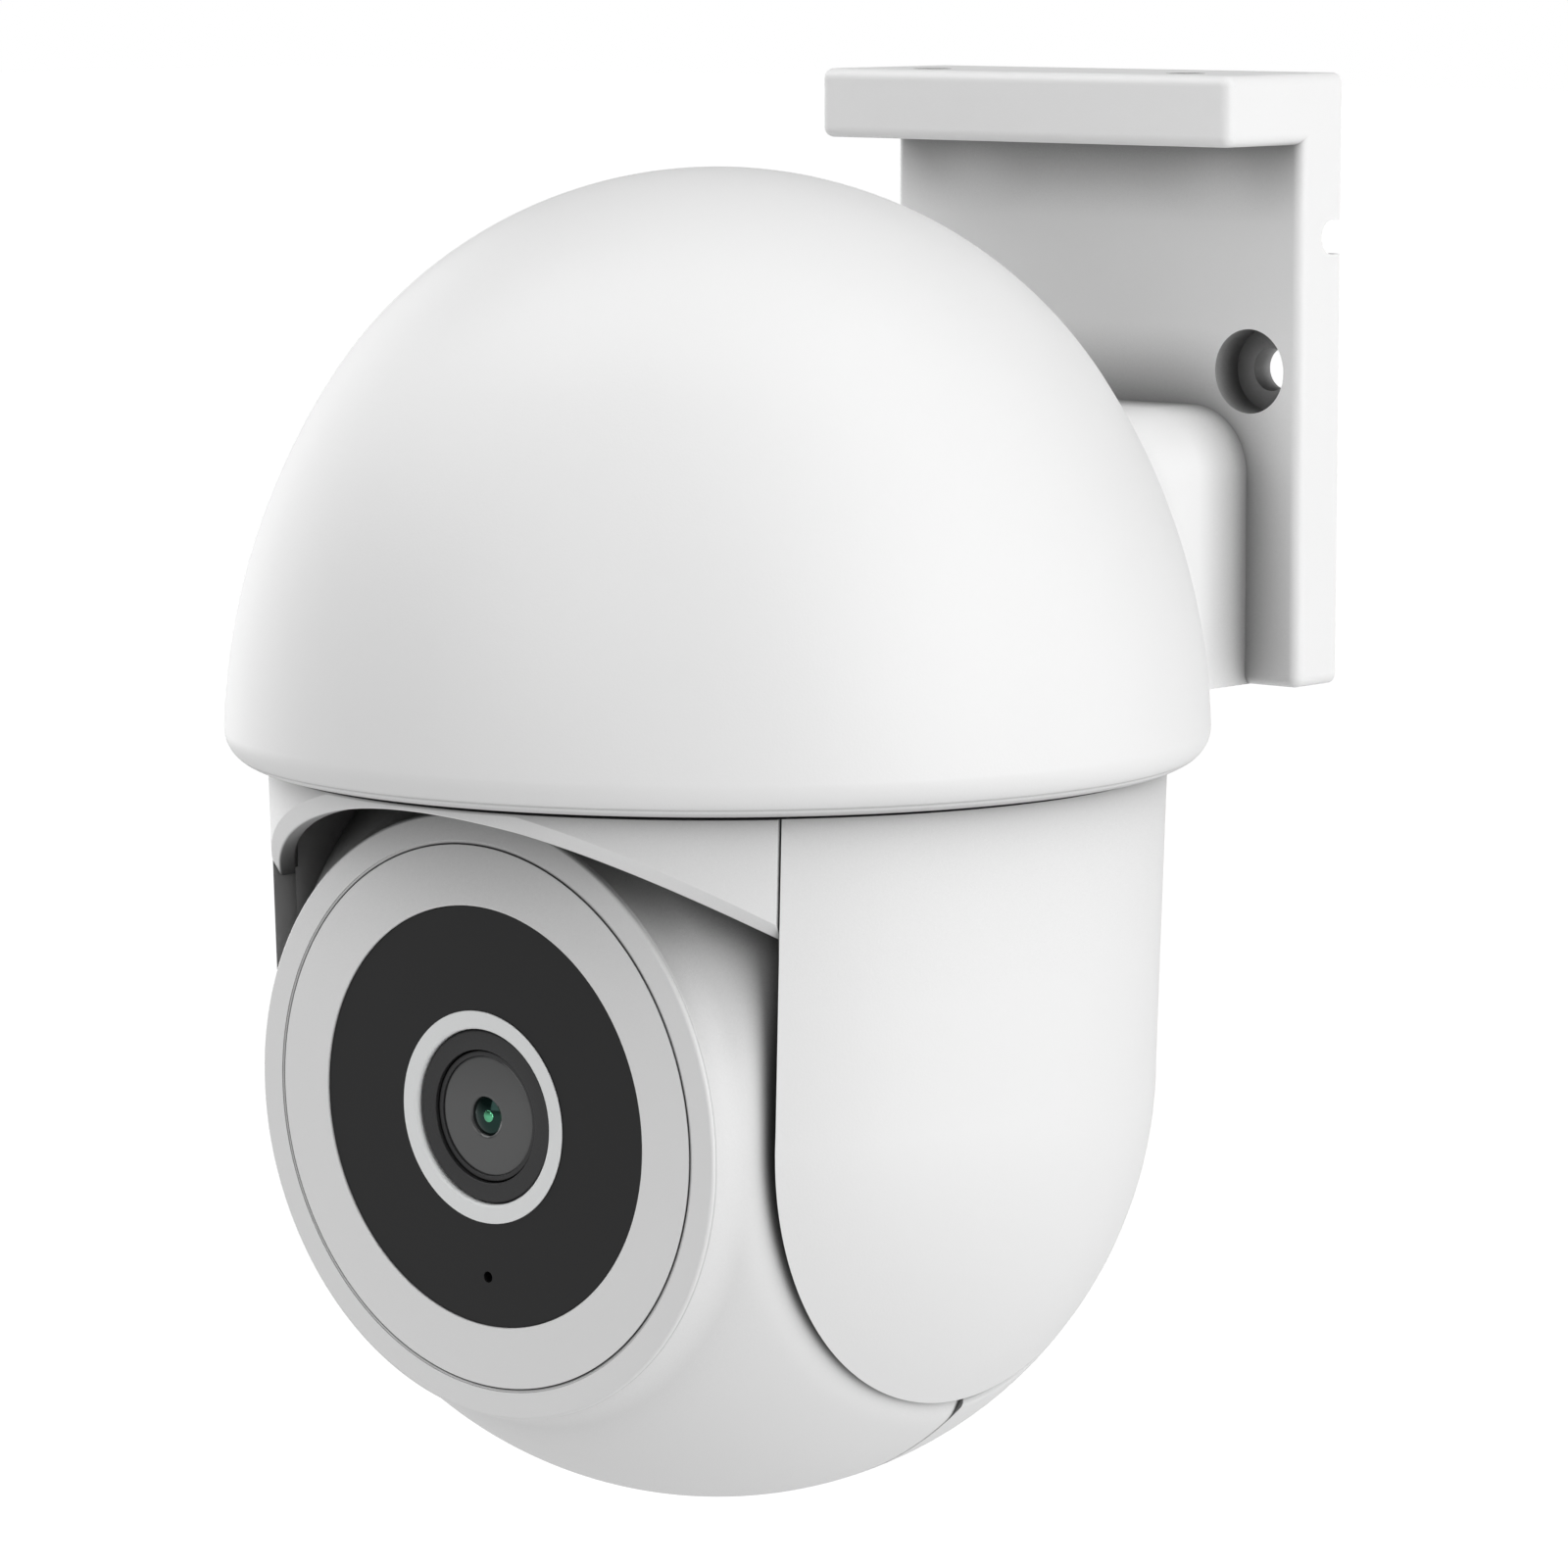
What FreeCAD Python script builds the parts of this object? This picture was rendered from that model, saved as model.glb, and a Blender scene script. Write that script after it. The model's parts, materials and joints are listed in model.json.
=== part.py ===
import FreeCAD, Part
import math
import os
import re
import Sketcher
from FreeCAD import Rotation, Vector

# Outdoor pan and tilt camera, in millimetres.
# Row frame: the origin is midway between the two wall screw holes, on the wall plate's back
# face. The wall lies along +Y, the camera looks along -Y and +Z is up.
# Mount and pan pieces are drawn about the pan axis, head pieces about the centre of the ball.

os.makedirs("parts", exist_ok=True)
doc = FreeCAD.newDocument("security_camera")

DIMENSIONS = {
    # Placing: the pan axis stands off the wall and the tilt axis hangs below the screw holes.
    "axis_to_wall": 71.7,
    "tilt_height": -71.2,
    "tilt_at_rest": 2.2,
    "pin_length": 120,
    # Wall bracket.
    "bracket_half_width": 29,
    "bracket_top": 33,
    "bracket_bottom": -35,
    "plate_thickness": 7.2,
    "ledge_depth": 20.8,
    "ledge_thickness": 7.8,
    "bracket_edge": 1.2,
    "wall_hole_spacing": 44,
    "wall_hole_radius": 2.4,
    "counterbore_radius": 4.7,
    "counterbore_depth": 4.2,
    "ceiling_hole_spacing": 36,
    "ceiling_hole_radius": 2.2,
    "ceiling_counterbore": 4.2,
    "ceiling_recess_depth": 3,
    "ceiling_hole_from_wall": 14,
    "cable_groove_height": 14.9,
    "cable_groove_width": 3.75,
    "cable_groove_depth": 3.4,
    "neck_half_width": 21.8,
    "neck_top": -4,
    "neck_corner": 7.5,
    "neck_wall": 3.2,
    "passage_half_width": 9.5,
    "passage_bottom": -10.6,
    "passage_top": -6.4,
    "neck_reach": 20,
    "neck_screw_side": 14.5,
    "neck_screw_height": -8.5,
    "neck_screw_length": 15.5,
    "neck_seat_distance": 40,
    "neck_seat_radius": 2.4,
    # Small screws, and the holes for them.
    "screw_shank": 1,
    "screw_snug": 1.1,
    "screw_clearance": 1.3,
    "screw_head": 1.9,
    "screw_head_height": 1.4,
    # Grommet in the neck's cable passage.
    "grommet_play": 0.1,
    "grommet_rim": 0.8,
    "grommet_rim_thickness": 1.2,
    "grommet_end": 53,
    "grommet_bore": 1.5,
    # Dome: a flat upper arc on the axis runs into a steeper lower arc, then a rounded lip.
    "dome_radius": 52.5,
    "dome_wall": 2.4,
    "dome_upper_arc": 48.76,
    "dome_upper_centre": -24.8,
    "dome_lower_arc": 71.8,
    "dome_lower_centre": -37.4,
    "dome_blend_angle": 33.1,
    "dome_bottom": -38.55,
    "dome_lip_radius": 48.5,
    "dome_lip_round": 3.6,
    "dome_lip_height": 2,
    # Fixed chassis inside the dome.
    "chassis_bottom": -13,
    "chassis_thickness": 2,
    "chassis_radius": 45,
    "chassis_boss_circle": 40,
    "chassis_boss_radius": 3.4,
    "chassis_boss_top": 10,
    "chassis_pilot_depth": 6,
    "chassis_screw_length": 7,
    "chassis_notch_half_width": 7,
    "chassis_notch_floor": 38,
    "pillar_circle": 27,
    "pillar_radius": 2.4,
    "board_bottom": 5,
    "board_thickness": 1.6,
    "board_radius": 31,
    "board_hole": 1,
    "board_screw_shank": 0.8,
    "board_screw_length": 5.6,
    "processor_half": 6,
    "processor_height": 1.2,
    "sink_half": 7,
    "sink_base_top": 2.7,
    "sink_top": 7,
    "fin_thickness": 1,
    "fin_pitch": 2.6,
    "antenna_half_width": 13,
    "antenna_distance": 19,
    "antenna_thickness": 0.8,
    "antenna_height": 7,
    "plug_width": 9,
    "plug_depth": 5,
    "plug_height": 4.5,
    "plug_wall": 1,
    # Pan drive.
    "hub_radius": 9,
    "hub_bore": 6,
    "hub_top": -7.5,
    "bush_wall": 1.6,
    "bush_flange": 2,
    "bush_flange_thickness": 0.8,
    "ring_width": 2.6,
    "ring_thickness": 1.4,
    "running_gap": 0.05,
    "gear_module": 0.5,
    "gear_thickness": 3,
    "gear_play": 0.1,
    "pan_gear_bottom": -19,
    "pan_gear_teeth": 80,
    "pan_pinion_teeth": 12,
    "tilt_gear_teeth": 60,
    "tilt_pinion_teeth": 10,
    "motor_radius": 9,
    "pan_motor_length": 12,
    "tilt_motor_length": 11.5,
    "tilt_motor_face": 24.5,
    "motor_boss_radius": 4.4,
    "pan_motor_boss": 1.6,
    "tilt_motor_boss": 0.5,
    "motor_bore_depth": 7,
    "ear_spacing": 11.8,
    "ear_reach": 14,
    "ear_half_width": 3.2,
    "ear_thickness": 0.8,
    "motor_screw_length": 2.5,
    "shaft_radius": 1,
    "shaft_engagement": 5,
    "stop_radius": 15.5,
    "stop_depth": 2,
    "stop_half_width": 1.2,
    "stop_height": 2.4,
    # Rotating housing: a slightly tapered wall ends in a sphere about the tilt axis.
    "body_top_radius": 47.9,
    "body_radius": 46.9,
    "collar_radius": 47,
    "collar_top": -19.4,
    "collar_bottom": -37.4,
    "collar_wall": 2.4,
    "collar_opening": 30,
    "brow_thickness": 2.8,
    "brow_arc": 65,
    "brow_apex": 31.6,
    "rear_skirt_end": 21.5,
    "seam_top": 35.8,
    "seam_bottom": 33.2,
    "seam_gap": 0.25,
    "cover_wall": 2.2,
    "cover_top_gap": 0.2,
    "frame_bottom": -23.4,
    "frame_thickness": 2,
    "frame_radius": 44,
    "frame_screw_circle": 37,
    "frame_screw_length": 3.5,
    "arm_inner": 34,
    "arm_thickness": 2,
    "arm_gap": 0.15,
    "arm_top_half_width": 24,
    "arm_screw_rise": 10.6,
    "arm_screw_length": 3.3,
    "trunnion_radius": 8,
    "trunnion_bore": 5,
    "trunnion_flange": 13,
    "trunnion_flange_thickness": 1.6,
    "trunnion_stub": 2,
    "tilt_gear_inner": 25.2,
    "tilt_pinion_offset": 0.6,
    # Camera head.
    "ball_half_width": 32.8,
    "ball_wall": 2.2,
    "ball_edge": 1.1,
    "shell_gap": 0.15,
    "head_screw_side": 20,
    "head_screw_rise": 29,
    "head_screw_seat": 26,
    "head_screw_recess": 2.6,
    "head_screw_length": 32,
    "head_pilot_depth": 9,
    "post_radius": 3.2,
    "post_reach": 36,
    "motor_post_radius": 2.4,
    "motor_post_pilot": 29.3,
    "tilt_motor_screw_length": 5.3,
    "tilt_bush_flange": 1.6,
    "tilt_bush_thickness": 0.8,
    "seal_inner": 45.2,
    "seal_outer": 46,
    "seal_half_width": 29,
    "seal_front": -0.5,
    "seal_rear": 0.7,
    "seal_play": 0.1,
    "face_distance": 37.1,
    "barrel_radius": 31.5,
    "barrel_depth": 20,
    "bezel_radius": 28.8,
    "bezel_groove": 0.25,
    "bezel_depth": 2.6,
    "bezel_play": 0.1,
    "bezel_ledge_depth": 0.6,
    "trim_depth": 0.4,
    "bezel_ledge": 20.2,
    "optics_opening": 24,
    "window_radius": 22,
    "window_thickness": 2,
    "window_recess": 0.2,
    "trim_outer": 11.05,
    "trim_inner": 8.85,
    "lens_head_radius": 6.85,
    "lens_thread_radius": 6,
    "lens_front": 34.6,
    "lens_shoulder": 28,
    "lens_rear": 19.5,
    "lens_bore": 3.4,
    "lens_mouth": 6.1,
    "lens_mouth_floor": 32.6,
    "cowl_floor": 34.4,
    "cowl_rear": 33,
    "cowl_play": 0.05,
    "front_lens_radius": 4.2,
    "front_lens_centre": 29.4,
    "front_lens_rear": 30.8,
    "rear_lens_front": 23,
    "rear_lens_back": 21,
    "holder_half": 7.5,
    "holder_front": 25,
    "sensor_half": 3.4,
    "sensor_front": 18.4,
    "sensor_board_front": 17.2,
    "sensor_board_back": 16,
    "sensor_board_half": 16,
    "sensor_screw_side": 12.5,
    "sensor_screw_shank": 0.7,
    "sensor_screw_head": 1.6,
    "sensor_screw_length": 5,
    "sensor_hole": 0.9,
    "optics_plate_inner": 7.4,
    "optics_plate_outer": 29,
    "optics_plate_front": 32.3,
    "optics_plate_back": 30.7,
    "optics_post_radius": 2,
    "optics_screw_circle": 26.4,
    "optics_screw_length": 3.2,
    "infrared_inner": 11.6,
    "infrared_outer": 19.6,
    "infrared_front": 33.5,
    "lamp_half_width": 1.7,
    "lamp_inner": 13.9,
    "lamp_outer": 17.3,
    "lamp_height": 1.2,
    "microphone_drop": 16.9,
    "microphone_hole": 0.6,
    "microphone_radius": 2,
}

# ---------------------------------------------------------------- document helpers

sheet = doc.addObject("Spreadsheet::Sheet", "dims")
for row, (alias, amount) in enumerate(DIMENSIONS.items(), start=1):
    sheet.set(f"A{row}", alias)
    sheet.set(f"B{row}", str(amount))
    sheet.setAlias(f"B{row}", alias)
doc.recompute()

probe = doc.addObject("App::FeaturePython", "probe")
probe.addProperty("App::PropertyFloat", "reading")

# Half widths of a gear tooth at its root, pitch circle and tip, in quarters of the tooth pitch.
TOOTH_WIDTHS = (1.5, 0.92, 0.42)
PAN_PINION_TURN = 15
PLUG_CORNERS = (("-20", "-16"), ("10", "-18"), ("14", "4"))
AXIS_TURNS = {
    "Z": Rotation(),
    "X": Rotation(Vector(0, 1, 0), 90),
    "Y": Rotation(Vector(1, 0, 0), -90),
}
subparts = []


def bound(text):
    """Point every plain alias of an expression at the sheet."""
    def pointed(word):
        return f"dims.{word[0]}" if word[0] in DIMENSIONS else word[0]

    return re.sub(r"[a-z_]+", pointed, str(text))


def number(text):
    """The value of an expression, worked out by the document."""
    probe.setExpression("reading", bound(text))
    probe.recompute()
    return probe.reading


def bind(thing, path, text):
    thing.setExpression(path, bound(text))


def shift(thing, x=0, y=0, z=0):
    for axis, text in zip("xyz", (x, y, z)):
        bind(thing, f"Placement.Base.{axis}", text)
    return thing


def box(name, x, y, z):
    """A box from its three (low, high) pairs of expressions."""
    solid = doc.addObject("Part::Box", name)
    for side, axis, (low, high) in zip(("Length", "Width", "Height"), "xyz", (x, y, z)):
        bind(solid, side, f"( {high} ) - ( {low} )")
        bind(solid, f"Placement.Base.{axis}", low)
    return solid


def cylinder(name, axis, radius, low, high, across=(0, 0)):
    """A cylinder along X, Y or Z; across is where its axis stands in the other two."""
    solid = doc.addObject("Part::Cylinder", name)
    solid.Placement.Rotation = AXIS_TURNS[axis]
    bind(solid, "Radius", radius)
    bind(solid, "Height", f"( {high} ) - ( {low} )")
    place = dict(zip((other for other in "XYZ" if other != axis), across))
    place[axis] = low
    return shift(solid, place["X"], place["Y"], place["Z"])


def tube(name, axis, inner, outer, low, high, across=(0, 0)):
    return cut(name, cylinder(f"{name}_outside", axis, outer, low, high, across),
               cylinder(f"{name}_bore", axis, inner, f"{low} - 1", f"{high} + 1", across))


def sphere(name, radius, y=0):
    solid = doc.addObject("Part::Sphere", name)
    bind(solid, "Radius", radius)
    return shift(solid, y=y)


def cone(name, axis, low_radius, high_radius, low, high):
    solid = doc.addObject("Part::Cone", name)
    solid.Placement.Rotation = AXIS_TURNS[axis]
    bind(solid, "Radius1", low_radius)
    bind(solid, "Radius2", high_radius)
    bind(solid, "Height", f"( {high} ) - ( {low} )")
    place = {"X": 0, "Y": 0, "Z": 0, axis: low}
    return shift(solid, place["X"], place["Y"], place["Z"])


def fuse(name, *solids):
    if len(solids) == 1:
        return solids[0]
    joined = doc.addObject("Part::MultiFuse", name)
    joined.Shapes = list(solids)
    return joined


def cut(name, base, *tools):
    result = doc.addObject("Part::Cut", name)
    result.Base = base
    result.Tool = fuse(f"{name}_tools", *tools)
    return result


def common(name, *solids):
    result = doc.addObject("Part::MultiCommon", name)
    result.Shapes = list(solids)
    return result


def rounded(name, base, radius, wanted):
    """Fillet the edges of base that the wanted(edge) test picks."""
    doc.recompute()
    amount = number(radius)
    result = doc.addObject("Part::Fillet", name)
    result.Base = base
    result.Edges = [(place, amount, amount)
                    for place, edge in enumerate(base.Shape.Edges, start=1) if wanted(edge)]
    return result


def body(name):
    return doc.addObject("PartDesign::Body", name)


def sketch_on(owner, name, role, offset=None):
    """A sketch on one of the body's own origin planes, moved along its normal by offset."""
    drawing = owner.newObject("Sketcher::SketchObject", name)
    plane = next(item for item in owner.Origin.OriginFeatures if item.Role == role)
    drawing.AttachmentSupport = [(plane, "")]
    drawing.MapMode = "FlatFace"
    if offset is not None:
        bind(drawing, "AttachmentOffset.Base.z", offset)
    return drawing


def pin(drawing, geometry, point, across, up):
    """Hold a sketch point at sheet-bound distances from the sketch's origin."""
    for kind, text in (("DistanceX", across), ("DistanceY", up)):
        held = drawing.addConstraint(Sketcher.Constraint(kind, -1, 1, geometry, point, number(text)))
        bind(drawing, f"Constraints[{held}]", text)


def outline(drawing, corners):
    """A closed polygon; each corner is a pair of expressions."""
    places = [Vector(number(across), number(up), 0) for across, up in corners]
    for index, (across, up) in enumerate(corners):
        line = Part.LineSegment(places[index], places[(index + 1) % len(places)])
        edge = drawing.addGeometry(line, False)
        pin(drawing, edge, 1, across, up)
    for index in range(len(corners)):
        following = (index + 1) % len(corners)
        drawing.addConstraint(Sketcher.Constraint("Coincident", index, 2, following, 1))


def circle(drawing, radius, across=0, up=0):
    centre = Vector(number(across), number(up), 0)
    edge = drawing.addGeometry(Part.Circle(centre, Vector(0, 0, 1), number(radius)), False)
    pin(drawing, edge, 3, across, up)
    held = drawing.addConstraint(Sketcher.Constraint("Radius", edge, number(radius)))
    bind(drawing, f"Constraints[{held}]", radius)


def pad(owner, drawing, length, symmetric=False):
    feature = owner.newObject("PartDesign::Pad", f"{drawing.Name}_pad")
    feature.Profile = drawing
    feature.Midplane = symmetric
    bind(feature, "Length", length)
    return feature


def ring_of(name, solid, count, start=0, axis=Vector(0, 0, 1)):
    """Copies of a solid, evenly turned about an axis through the local origin."""
    copies = []
    for step in range(count):
        copy = doc.addObject("Part::Compound", f"{name}_{step}")
        copy.Links = [solid]
        copy.Placement.Rotation = Rotation(axis, start + 360 * step / count)
        copies.append(copy)
    return copies


def group(name, solids):
    together = doc.addObject("Part::Compound", name)
    together.Links = list(solids)
    return together


def keep(node, thing, where):
    """Name a finished sub-part, and put it in the row frame."""
    if thing.TypeId in ("Part::Box", "Part::Cylinder"):
        thing = group(f"{node}_placed", [thing])
    thing.Label = node
    if where in ("pan", "head"):
        bind(thing, "Placement.Base.y", "-1 * axis_to_wall")
    if where == "head":
        bind(thing, "Placement.Base.z", "tilt_height")
        thing.Placement.Rotation = Rotation(Vector(1, 0, 0), number("tilt_at_rest"))
    subparts.append(thing)
    return thing


def gear(name, axis, teeth, bore, low, across=(0, 0), turn=0, extra=0):
    """A spur gear with straight-flanked teeth, drawn tooth by tooth."""
    module = number("gear_module")
    count = int(number(teeth))
    pitch = module * count / 2
    root, tip = pitch - 1.25 * module, pitch + module
    quarter = math.pi / (2 * count)
    flank = list(zip((root, pitch, tip), TOOTH_WIDTHS))
    flank += [(radius, -half) for radius, half in flank[::-1]]
    corners = []
    for tooth in range(count):
        middle = 2 * math.pi * tooth / count + math.radians(turn)
        for radius, half in flank:
            angle = middle - half * quarter
            corners.append(Vector(radius * math.cos(angle), radius * math.sin(angle), 0))
    face = Part.Face(Part.makePolygon(corners + corners[:1]))
    solid = face.extrude(Vector(0, 0, number(f"gear_thickness + {extra}")))
    wheel = doc.addObject("Part::Feature", f"{name}_teeth")
    wheel.Shape = solid
    wheel.Placement.Rotation = AXIS_TURNS[axis]
    place = dict(zip((other for other in "XYZ" if other != axis), across))
    place[axis] = low
    shift(wheel, place["X"], place["Y"], place["Z"])
    hole = cylinder(f"{name}_hole", axis, bore, f"{low} - 1", f"{low} + gear_thickness + 5", across)
    return cut(name, wheel, hole)


def span(start, way, length):
    """The (low, high) pair that runs from a level for a length, up if way is 1 and down if it is -1."""
    end = f"{start} + {way} * ( {length} )"
    return (start, end) if way > 0 else (end, start)


def on_side(side, low, high):
    """A (low, high) pair along X, turned over for the left side."""
    return (low, high) if side > 0 else (f"0 - ( {high} )", f"0 - ( {low} )")


def screw(name, axis, place, seat, way, length, shank="screw_shank", head="screw_head"):
    """A pan-head screw: its head stands on the seat level, and its shank runs from there along way."""
    rod = cylinder(f"{name}_shank", axis, shank, *span(seat, way, length), place)
    cap = cylinder(f"{name}_head", axis, head, *span(seat, -way, "screw_head_height"), place)
    return fuse(name, rod, cap)


def profile(drawing, corners, arcs):
    """A closed outline; arcs maps a corner's place to (radius, centre) of the arc that leaves it."""
    places = [Vector(number(across), number(up), 0) for across, up in corners]
    ends = []
    for index, start in enumerate(places):
        finish = places[(index + 1) % len(places)]
        if index in arcs:
            radius, (across, up) = arcs[index]
            centre = Vector(number(across), number(up), 0)
            first = math.atan2(start.y - centre.y, start.x - centre.x)
            last = math.atan2(finish.y - centre.y, finish.x - centre.x)
            anticlockwise = (last - first) % (2 * math.pi) < math.pi
            low, high = (first, last) if anticlockwise else (last, first)
            whole = Part.Circle(centre, Vector(0, 0, 1), number(radius))
            edge = drawing.addGeometry(Part.ArcOfCircle(whole, low, high), False)
            ends.append((1, 2) if anticlockwise else (2, 1))
            held = drawing.addConstraint(Sketcher.Constraint("Radius", edge, number(radius)))
            bind(drawing, f"Constraints[{held}]", radius)
        else:
            edge = drawing.addGeometry(Part.LineSegment(start, finish), False)
            ends.append((1, 2))
        pin(drawing, edge, ends[index][0], *corners[index])
    for index in range(len(corners)):
        following = (index + 1) % len(corners)
        drawing.addConstraint(
            Sketcher.Constraint("Coincident", index, ends[index][1], following, ends[following][0]))


def turned_profile(name, corners, arcs):
    """A body revolved about the local Z axis from a half outline with arcs."""
    owner = body(name)
    drawing = sketch_on(owner, f"{name}_outline", "XZ_Plane")
    profile(drawing, corners, arcs)
    feature = owner.newObject("PartDesign::Revolution", f"{name}_turn")
    feature.Profile = drawing
    feature.ReferenceAxis = (drawing, ["V_Axis"])
    feature.Angle = 360
    return owner


# ---------------------------------------------------------------- shared shapes

FAR = ("-60", "60")
SIDES = ((1, "right"), (-1, "left"))
CORNERS = tuple((across, up) for across in (-1, 1) for up in (-1, 1))
DOME_CENTRES = (("0", "dome_upper_centre"), ("dome_radius - dome_lower_arc", "dome_lower_centre"))
PAN_REACH = "( gear_module * ( pan_gear_teeth + pan_pinion_teeth ) / 2 + gear_play )"
TILT_REACH = "( gear_module * ( tilt_gear_teeth + tilt_pinion_teeth ) / 2 + gear_play )"
CHASSIS_TOP = "( chassis_bottom + chassis_thickness )"
FRAME_TOP = "( frame_bottom + frame_thickness )"
ARM_OUTER = "( arm_inner + arm_thickness )"
TILT_AXIS = ("0", "tilt_height")
BELOW = "( tilt_height - axis_to_wall )"
BROW_CENTRE = "( tilt_height + brow_apex - brow_arc )"
BROW_END = f"( {BROW_CENTRE} + sqrt( brow_arc ^ 2 - seam_top ^ 2 ) )"
FRAME_SCREWS_START = 45


def dome_curve(inset):
    """The dome's two arc radii and its corners from its top down, inset from the outside."""
    upper = f"( dome_upper_arc - {inset} )"
    lower = f"( dome_lower_arc - {inset} )"
    blend = (f"{upper} * cos( dome_blend_angle )",
             f"dome_upper_centre + {upper} * sin( dome_blend_angle )")
    return upper, lower, [("0", f"dome_upper_centre + {upper}"), blend]


def dome_across(lower, height):
    """The dome's radius at a height on its lower arc."""
    return f"dome_radius - dome_lower_arc + sqrt( {lower} ^ 2 - ( {height} - dome_lower_centre ) ^ 2 )"


def dome_envelope(name):
    """All that lies inside the dome's outer face."""
    upper, lower, top = dome_curve("0")
    low = "( dome_bottom + dome_lip_round )"
    wide = dome_across(lower, low)
    corners = top + [(wide, low), (wide, "dome_bottom"), ("0", "dome_bottom")]
    return turned_profile(name, corners, {0: (upper, DOME_CENTRES[0]), 1: (lower, DOME_CENTRES[1])})


def dome_skin():
    upper, lower, outside = dome_curve("0")
    inner_upper, inner_lower, inside = dome_curve("dome_wall")
    low = "( dome_bottom + dome_lip_round )"
    wide = dome_across(lower, low)
    lip_centre = f"{wide} - dome_lip_round"
    lip_top = "( dome_bottom + dome_lip_height )"
    corners = outside + [
        (wide, low), (lip_centre, "dome_bottom"), ("dome_lip_radius", "dome_bottom"),
        ("dome_lip_radius", lip_top), (dome_across(inner_lower, lip_top), lip_top)]
    corners += inside[::-1]
    arcs = {0: (upper, DOME_CENTRES[0]), 1: (lower, DOME_CENTRES[1]),
            2: ("dome_lip_round", (lip_centre, low)),
            6: (inner_lower, DOME_CENTRES[1]), 7: (inner_upper, DOME_CENTRES[0])}
    return turned_profile("dome_skin", corners, arcs)


def capsule(name, inset):
    """The rotating housing's outer form: a tapered wall that ends in a sphere."""
    low = f"( body_radius - {inset} )"
    wide = f"body_top_radius - {inset}"
    corners = [("0", "collar_bottom"), (wide, "collar_bottom"), (low, "tilt_height"),
               ("0", f"tilt_height - {low}")]
    return turned_profile(name, corners, {2: (low, ("0", "tilt_height"))})


def seam_region(name, side, gap):
    """All that lies outside a side seam; the seam leans in towards the bottom."""
    owner = body(name)
    drawing = sketch_on(owner, f"{name}_outline", "XZ_Plane")
    low = "tilt_height - body_radius"
    outline(drawing, [(f"{side} * ( seam_top + {gap} )", "collar_bottom"),
                      (f"{side} * axis_to_wall", "collar_bottom"), (f"{side} * axis_to_wall", low),
                      (f"{side} * ( seam_bottom + {gap} )", low)])
    pad(owner, drawing, "pin_length", symmetric=True)
    return owner


# ---------------------------------------------------------------- wall mount

def neck_solid(reach):
    block = box("neck_block", ("0 - neck_half_width", "neck_half_width"), (reach, "0 - neck_wall"),
                ("bracket_bottom", "neck_top"))

    def top_edge(edge):
        return edge.BoundBox.YLength > 10 and edge.BoundBox.Center.z > number("neck_top") - 1

    return rounded("neck", block, "neck_corner", top_edge)


def bracket_plate(under):
    """The wall plate and its top ledge: an L section with soft edges away from the wall."""
    blank = body("bracket_blank")
    section = sketch_on(blank, "bracket_section", "YZ_Plane")
    outline(section, [("0", "bracket_bottom"), ("0", "bracket_top"), ("0 - ledge_depth", "bracket_top"),
                      ("0 - ledge_depth", under), ("0 - plate_thickness", under),
                      ("0 - plate_thickness", "bracket_bottom")])
    pad(blank, section, "2 * bracket_half_width", symmetric=True)

    def outer_edge(edge):
        bounds = edge.BoundBox
        at_wall = bounds.YLength < 0.01 and abs(bounds.Center.y) < 0.01
        on_front = abs(bounds.Center.y + number("plate_thickness")) < 0.01
        in_corner = bounds.XLength > 10 and on_front and bounds.Center.z > 0
        return not at_wall and not in_corner

    return rounded("bracket_plate", blank, "bracket_edge", outer_edge)


def wall_bracket():
    under = "( bracket_top - ledge_thickness )"
    front = "( 0 - plate_thickness )"
    dome_back = "( dome_radius - axis_to_wall )"
    reach = "( neck_reach - axis_to_wall )"
    inner = "( neck_half_width - neck_wall )"
    solid = fuse("bracket_joined", bracket_plate(under), neck_solid(reach))
    tools = [
        box("neck_chamber", (f"0 - {inner}", inner), (f"{dome_back} + neck_wall", "1"),
            ("bracket_bottom + neck_wall", "neck_top - neck_wall")),
        box("neck_passage", ("0 - passage_half_width", "passage_half_width"), (reach, "-1"),
            ("passage_bottom", "passage_top")),
        shift(dome_envelope("bracket_dome_space"), y="0 - axis_to_wall")]
    for side, word in SIDES:
        wall = (f"{side} * wall_hole_spacing / 2", "0")
        ceiling = (f"{side} * ceiling_hole_spacing / 2", "0 - ceiling_hole_from_wall")
        pilot = (f"{side} * neck_screw_side", "neck_screw_height")
        tools += [
            cylinder(f"wall_hole_{word}", "Y", "wall_hole_radius", f"{front} - 1", "1", wall),
            cylinder(f"wall_recess_{word}", "Y", "counterbore_radius", f"{front} - 1",
                     f"{front} + counterbore_depth", wall),
            cylinder(f"ceiling_hole_{word}", "Z", "ceiling_hole_radius", f"{under} - 1",
                     "bracket_top + 1", ceiling),
            cylinder(f"ceiling_recess_{word}", "Z", "ceiling_counterbore", f"{under} - 1",
                     f"{under} + ceiling_recess_depth", ceiling),
            cylinder(f"neck_pilot_{word}", "Y", "screw_shank", reach,
                     "neck_seat_distance - axis_to_wall + neck_screw_length + 0.5", pilot)]
    half = "( cable_groove_width / 2 )"
    depth = f"( cable_groove_depth - {half} )"
    tools += [
        box("groove_across", FAR, (f"0 - {depth}", "1"),
            (f"cable_groove_height - {half}", f"cable_groove_height + {half}")),
        cylinder("groove_floor", "X", half, *FAR, (f"0 - {depth}", "cable_groove_height")),
        box("groove_down", (f"0 - {half}", half), ("0 - cable_groove_depth", "1"),
            ("neck_top - 2 * neck_wall", "cable_groove_height"))]
    keep("wall_bracket", cut("bracket", solid, *tools), "row")


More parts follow.
